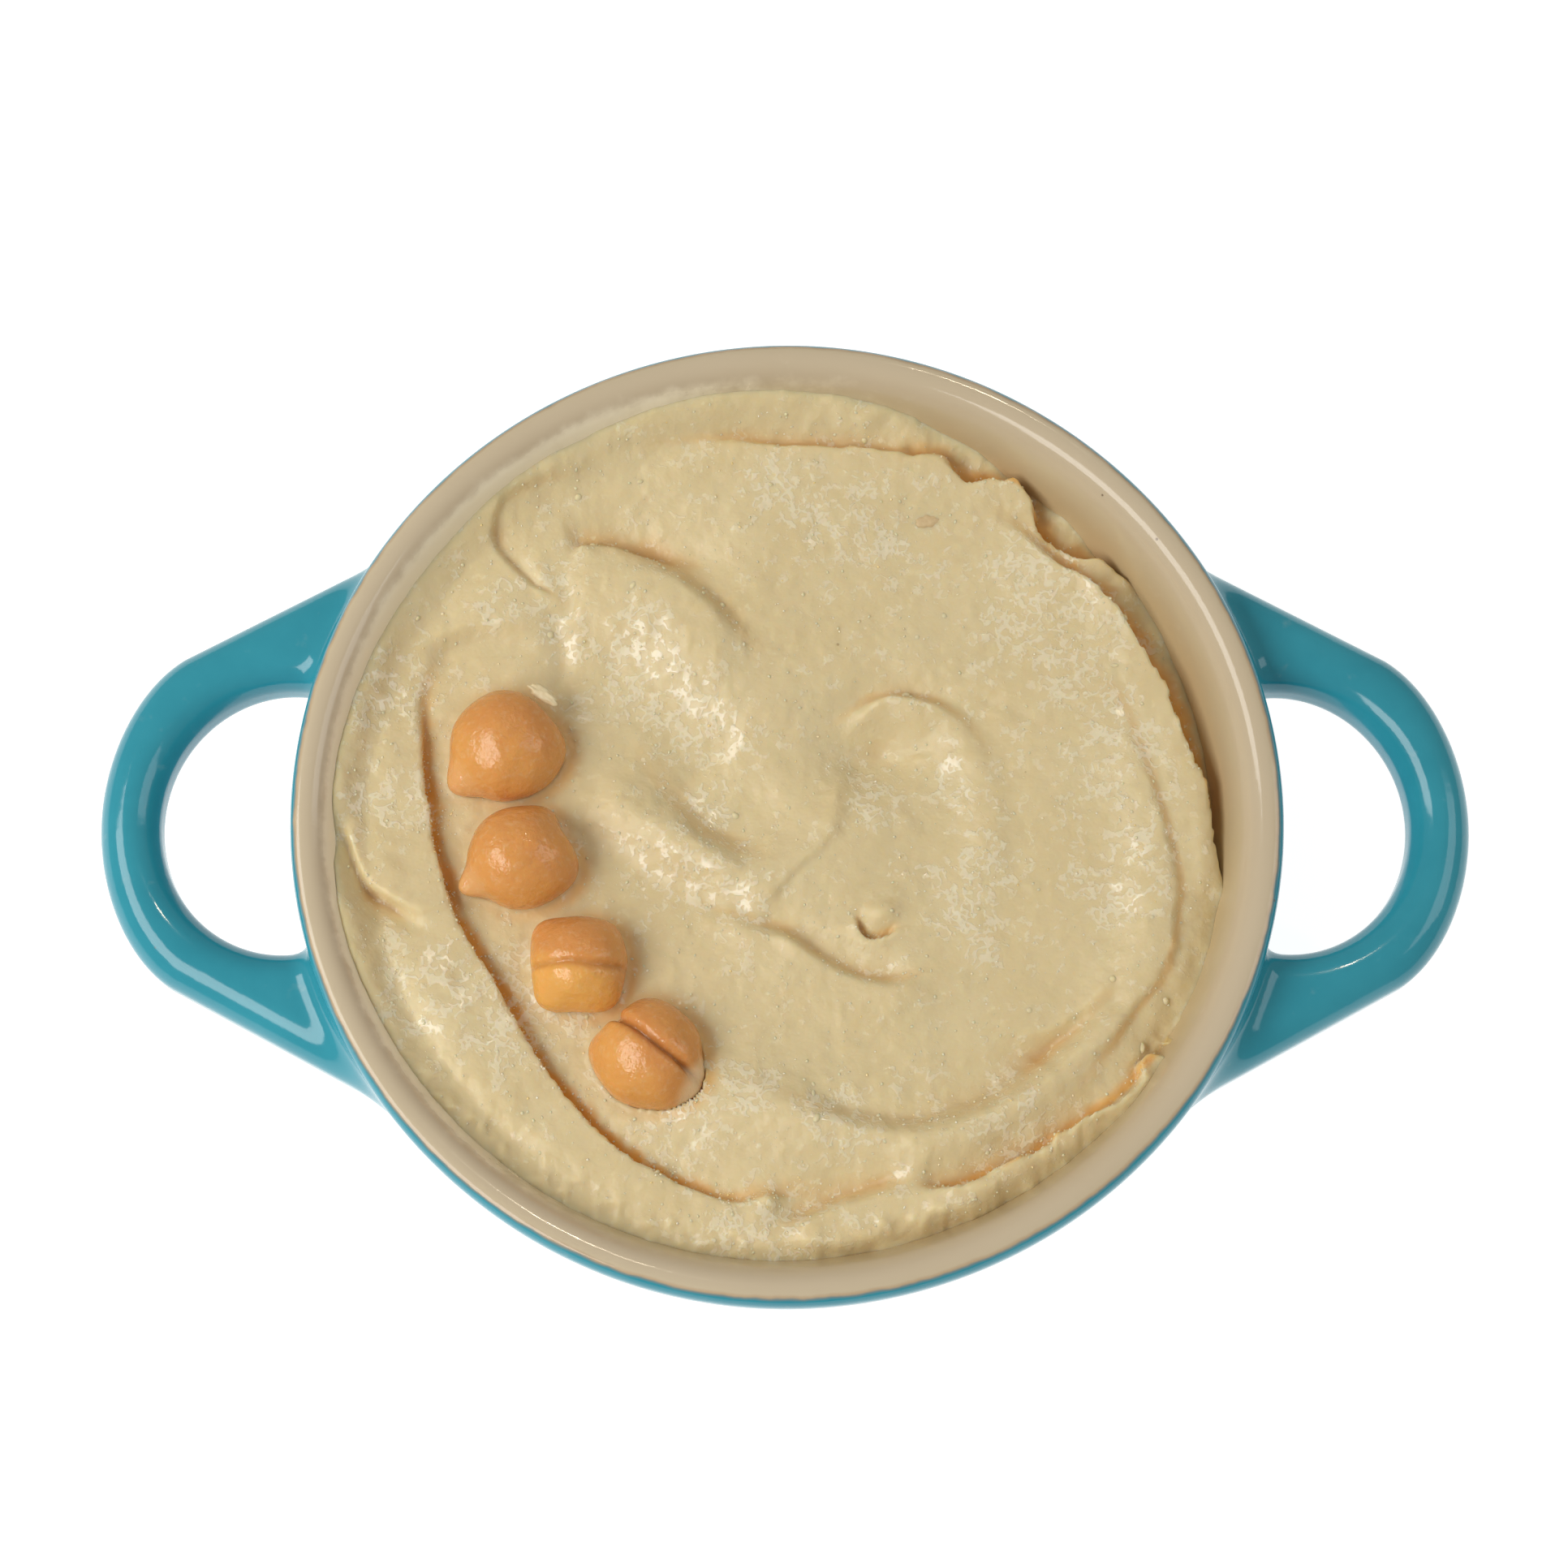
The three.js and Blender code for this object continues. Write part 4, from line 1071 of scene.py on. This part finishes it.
# %% [markdown]
# ## Chickpeas, skin and shine
# The skin is thin, amber and wet; the flesh under it is paler. The cleft is painted darker, a painted
# shade that grows with its depth, and the beak is lighter. The side that the window lights is painted
# lighter and more golden: painted light. The balls start from an even icosphere, so that no pole shows.

# %% Chickpea material
PEA_AMBER = paint(219, 150, 84)
PEA_LIT_GOLD = paint(236, 176, 92)
PEA_CLEFT_SHADE = paint(186, 116, 60)
PEA_PALE = paint(240, 214, 172)


def chickpea_material():
    f = Finish("chickpea_skin")
    # painted light: the side that the window lights is lighter and more golden
    colour = f.mix((f.noise(5, 3) - 0.3) * 0.8 + f.attribute("gold") * 0.7, PEA_AMBER, PEA_LIT_GOLD)
    # painted shade: the cleft darker, the more so the deeper it is
    colour = f.mix(f.attribute("cleft") * 0.7, colour, PEA_CLEFT_SHADE)
    colour = f.mix(f.attribute("beak") * 0.75, colour, PEA_PALE)
    fine = f.noise(0.7, 3).between(0.5, 0.75)
    colour = f.mix(fine * 0.18, colour, PEA_PALE)
    roughness = 0.06 + f.noise(1.5, 3) * 0.16
    normal = f.bump(f.noise(2.2, 3), 0.18)
    normal = f.bump(f.noise(0.9, 3, 0.6), 0.17, normal)
    return f.surface(base_color=colour, roughness=roughness, normal=normal, ior=1.5,
                     subsurface_weight=0.4, subsurface_radius=(1.0, 0.4, 0.15), subsurface_scale=0.0018)


# %% Chickpea meshes
CRACK = 0.35  # width of the fine crack in a cleft, as a share of the cleft's


def ball(subdivisions):
    """Directions and faces of an even ball."""
    bpy.ops.mesh.primitive_ico_sphere_add(subdivisions=subdivisions, radius=1)
    draft = bpy.context.object
    points = np.array([v.co for v in draft.data.vertices])
    faces = [tuple(p.vertices) for p in draft.data.polygons]
    bpy.data.objects.remove(draft)
    return points / np.linalg.norm(points, axis=1)[:, None], faces


def facing(points, degrees):
    """How far each point lies in the given direction from the middle, seen from above."""
    turn = math.radians(degrees)
    return points[:, 0] * math.cos(turn) + points[:, 1] * math.sin(turn)


def make_chickpea(number, pea, n, faces, material):
    half = np.array([pea["across"] / 2, pea["across"] / 2, pea["high"] / 2])
    turn, offset, depth, width = pea["cleft"]
    points = n * half
    wander = 0.25 * ripple(points[:, 0] + 9 * number, points[:, 1], 3, 30 + number)
    left = facing(points, turn + 90) - offset + wander
    cleft = np.exp(-((left / width) ** 2)) * smoothstep(-0.2, 0.5, n[:, 2])
    crack = np.exp(-((left / (width * CRACK)) ** 2)) * smoothstep(0.1, 0.5, n[:, 2])
    dents = 0.12 * ripple(points[:, 0], points[:, 1] + points[:, 2], 2.6, 40 + number)
    rise = chickpea_rise(pea, n) - depth * cleft - 0.4 * depth * crack + dents
    beak = pea["tip"] * smoothstep(0.8, 0.97, facing(n, pea["bumps"][0][0]))
    # the lit side of each chickpea, painted lighter: painted light
    side, amount = pea["gold"]
    gold = amount * smoothstep(-0.1, 0.5, facing(n, side))
    points = points + n * rise[:, None] + pea["centre"]
    return make_piece(f"cooked_chickpea_{number}", points, faces, material,
                      cleft=cleft * min(1, depth * 1.6), beak=beak, gold=gold)


ball_directions, ball_faces = ball(6)
pea_skin = chickpea_material()
cooked = [make_chickpea(i + 1, pea, ball_directions, ball_faces, pea_skin) for i, pea in enumerate(CHICKPEAS)]

# %% [markdown]
# ## Grit and drops
# Bits of ground chickpea stand out of the paste, and tiny drops of oil lie on it. They follow the
# surface and there are thousands of them, so Geometry Nodes scatter them: points on the faces, more of
# them where the number named by `Where` is high, a small uneven ball on each, all made real so that the
# result is a plain mesh. Most sizes fall near the smallest, as in a real grind.

# %% Scatter tree
SCATTER_INPUTS = [
    ("Geometry", "Geometry"), ("Where", "String"), ("Density", "Float"), ("Smallest", "Float"),
    ("Largest", "Float"), ("Sink", "Float"), ("Detail", "Int"), ("Seed", "Int"), ("Material", "Material"),
]
FULL_TURN = (6.28, 6.28, 6.28)
MOSTLY_SMALL = 2.5  # power that pushes the random sizes towards the smallest
THINNEST, THICKEST = (0.7, 0.7, 0.5), (1.25, 1.0, 0.8)


def scatter_tree(name):
    tree = bpy.data.node_groups.new(name, "GeometryNodeTree")
    for socket, kind in SCATTER_INPUTS:
        tree.interface.new_socket(socket, in_out="INPUT", socket_type="NodeSocket" + kind)
    tree.interface.new_socket("Geometry", in_out="OUTPUT", socket_type="NodeSocketGeometry")

    def add(kind, settings=None, inputs=None, output=0):
        node = tree.nodes.new(kind)
        for key, value in (settings or {}).items():
            setattr(node, key, value)
        for key, value in (inputs or {}).items():
            if isinstance(value, bpy.types.NodeSocket):
                tree.links.new(value, node.inputs[key])
            else:
                node.inputs[key].default_value = value
        return node.outputs[output] if node.outputs else None

    def maths(operation, first, second):
        return add("ShaderNodeMath", {"operation": operation}, {0: first, 1: second})

    given = tree.nodes.new("NodeGroupInput").outputs
    seed = given["Seed"]
    where = add("GeometryNodeInputNamedAttribute", {"data_type": "FLOAT"}, {"Name": given["Where"]})
    density = maths("MULTIPLY", where, given["Density"])
    points = add("GeometryNodeDistributePointsOnFaces", {"distribute_method": "RANDOM"},
                 {"Mesh": given["Geometry"], "Density": density, "Seed": seed})
    grain = add("GeometryNodeMeshIcoSphere", inputs={"Radius": 0.5, "Subdivisions": given["Detail"]})
    turn = add("FunctionNodeRandomValue", {"data_type": "FLOAT_VECTOR"}, {1: FULL_TURN, "Seed": seed})
    pick = add("FunctionNodeRandomValue", {"data_type": "FLOAT"}, {"Seed": seed}, output=1)
    size = add("ShaderNodeMapRange", inputs={
        "Value": maths("POWER", pick, MOSTLY_SMALL), 3: given["Smallest"], 4: given["Largest"]})
    uneven = add("FunctionNodeRandomValue", {"data_type": "FLOAT_VECTOR"},
                 {0: THINNEST, 1: THICKEST, "Seed": seed})
    scale = add("ShaderNodeVectorMath", {"operation": "SCALE"}, {0: uneven, "Scale": size})
    deeper = add("ShaderNodeCombineXYZ", inputs={"Z": maths("MULTIPLY", given["Sink"], -1.0)})
    seated = add("GeometryNodeSetPosition", inputs={"Geometry": points, "Offset": deeper})
    placed = add("GeometryNodeInstanceOnPoints", inputs={
        "Points": seated, "Instance": grain, "Rotation": turn, "Scale": scale})
    real = add("GeometryNodeRealizeInstances", inputs={"Geometry": placed})
    smooth = add("GeometryNodeSetShadeSmooth", inputs={"Geometry": real})
    painted = add("GeometryNodeSetMaterial", inputs={"Geometry": smooth, "Material": given["Material"]})
    add("NodeGroupOutput", inputs={"Geometry": painted})
    return tree


tree = scatter_tree("grit")
print("scatter tree:", len(tree.nodes), "nodes")

# %% Run the tree
PER_SQUARE_MM = 1 / MM ** 2


def scatter(name, ground, **values):
    """Run the tree on a copy of the ground and keep its result as a plain mesh."""
    draft = bpy.data.objects.new("draft", ground.data.copy())
    bpy.context.scene.collection.objects.link(draft)
    modifier = draft.modifiers.new("scatter", "NODES")
    modifier.node_group = tree
    for item in tree.interface.items_tree:
        if item.item_type == "SOCKET" and item.in_out == "INPUT" and item.name in values:
            modifier[item.identifier] = values[item.name]
    evaluated = draft.evaluated_get(bpy.context.evaluated_depsgraph_get())
    mesh = bpy.data.meshes.new_from_object(evaluated)
    mesh.name = name
    piece = bpy.data.objects.new(name, mesh)
    bpy.context.scene.collection.objects.link(piece)
    bpy.data.objects.remove(draft)
    print(name, len(mesh.polygons), "faces")
    return piece


def on_hummus(name, material, where, density, smallest, largest, sink, detail, seed):
    """Scatter so many to a square millimetre, with sizes in millimetres."""
    return scatter(name, hummus, Where=where, Density=density * PER_SQUARE_MM, Smallest=smallest * MM,
                   Largest=largest * MM, Sink=sink * MM, Detail=detail, Seed=seed, Material=material)


# %% Grit
def grit_material(name, colour, roughness):
    f = Finish(name)
    tone = f.mix(f.noise(1.5), colour, PASTE_PALE)
    normal = f.bump(f.noise(0.3), 0.03)
    return f.surface(base_color=tone, roughness=roughness + f.noise(0.8) * 0.15, normal=normal, ior=1.42,
                     subsurface_weight=0.3, subsurface_radius=(1.0, 0.55, 0.22), subsurface_scale=0.001)


fine_grit = on_hummus("fine_grit", grit_material("pale_grit", PASTE_PALE, 0.3), "top", density=0.3,
                      smallest=0.3, largest=0.6, sink=0.1, detail=1, seed=4)
coarse_grit = on_hummus("coarse_grit", grit_material("coarse_grit", PASTE, 0.5), "top", density=0.02,
                        smallest=0.6, largest=1.2, sink=0.3, detail=2, seed=9)

# %% Oil drops
DROP_GLINT_GOLD = paint(248, 222, 158)


def oil_material():
    f = Finish("oil_drops")
    # pale gold to near white: a painted glint on top of the drops' real gloss
    tone = f.mix(f.noise(2).between(0.35, 0.55), DROP_GLINT_GOLD, PAINTED_GLINT_WHITE)
    return f.surface(base_color=tone, roughness=0.05 + f.noise(1.2) * 0.1, ior=1.6)


oil_drops = on_hummus("oil_drops", oil_material(), "dewy", density=3,
                      smallest=0.16, largest=0.42, sink=0.02, detail=1, seed=15)

# %% [markdown]
# ## Loose bits
# A shred of seed coat lies on the hummus near the far edge, and a curl of loose skin on the first
# chickpea. Both are small, but the eye finds them. Each is a ball pressed into a flat uneven shred.

# %% Loose bits
COAT_TAN = paint(202, 172, 126)
COAT_PALE = paint(220, 196, 152)
SKIN_PALE = paint(238, 226, 190)
SKIN_TAN = paint(216, 190, 140)
COAT_AT = (15.9, 34.5)
SKIN_AT = (-26.7, 13.5)


def fleck_material(name, colour, deeper):
    f = Finish(name)
    tone = f.mix(f.noise(0.6, 3), colour, deeper)
    normal = f.bump(f.noise(0.4), 0.05)
    return f.surface(base_color=tone, roughness=0.35 + f.noise(0.5) * 0.2, normal=normal)


def shred(name, at, size, turn, material, lift, seed):
    directions, faces = ball(4)
    points = directions * (1 + 0.18 * ripple(directions[:, 0] * 4, directions[:, 1] * 4, 1.3, seed)[:, None])
    points = points * np.array(size) / 2
    c, s = math.cos(math.radians(turn)), math.sin(math.radians(turn))
    x = points[:, 0] * c - points[:, 1] * s + at[0]
    y = points[:, 0] * s + points[:, 1] * c + at[1]
    return make_piece(name, np.stack([x, y, points[:, 2] + lift], -1), faces, material)


seed_coat = shred("seed_coat", COAT_AT, (2.9, 1.6, 0.8), 5,
                  fleck_material("seed_coat", COAT_TAN, COAT_PALE), ground_height(*COAT_AT) - 0.15, 3)
loose_skin = shred("loose_skin", SKIN_AT, (3.9, 1.5, 0.9), -36,
                   fleck_material("loose_skin", SKIN_PALE, SKIN_TAN), CHICKPEAS[0]["centre"][2] + 1.2, 5)

# %% [markdown]
# ## Table
# A plain pale table, wider than the view, so that the dish has something to stand on. It glows a little,
# which keeps it evenly white although the lamps are weak out there.

# %% Table
TABLE_REACH = 3000
TABLE_LIGHT = paint(190, 190, 190)
TABLE_SHADE = paint(186, 186, 186)
TABLE_GLOW = paint(252, 252, 252)


def table_top():
    reach = TABLE_REACH
    f = Finish("pale_table")
    colour = f.mix(f.noise(400), TABLE_LIGHT, TABLE_SHADE)
    material = f.surface(base_color=colour, roughness=0.7 + f.noise(200) * 0.1,
                         emission_color=TABLE_GLOW, emission_strength=0.85)
    corners = [(-reach, -reach, 0), (reach, -reach, 0), (reach, reach, 0), (-reach, reach, 0)]
    table = make_piece("table", corners, [(0, 1, 2, 3)], material)


table_top()

# %% [markdown]
# ## What stands for what
# Each piece rides on the one body, and the solids that it takes the place of are hidden.

# %% Hand over
def hand_over(piece, material_slot, *nodes):
    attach(piece, "root")
    if nodes:
        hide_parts(*nodes)


hand_over(bowl, "dish_glaze", "dish")
hand_over(handles, "dish_glaze", "dish")
hand_over(hummus, "hummus_paste", "hummus")
hand_over(fine_grit, "hummus_paste")
hand_over(coarse_grit, "hummus_paste")
hand_over(oil_drops, "hummus_paste")
hand_over(seed_coat, "hummus_paste")
hand_over(loose_skin, "chickpea")
for number, piece in enumerate(cooked, 1):
    hand_over(piece, "chickpea", f"chickpea_{number}")
print("all pieces ride on the one body")
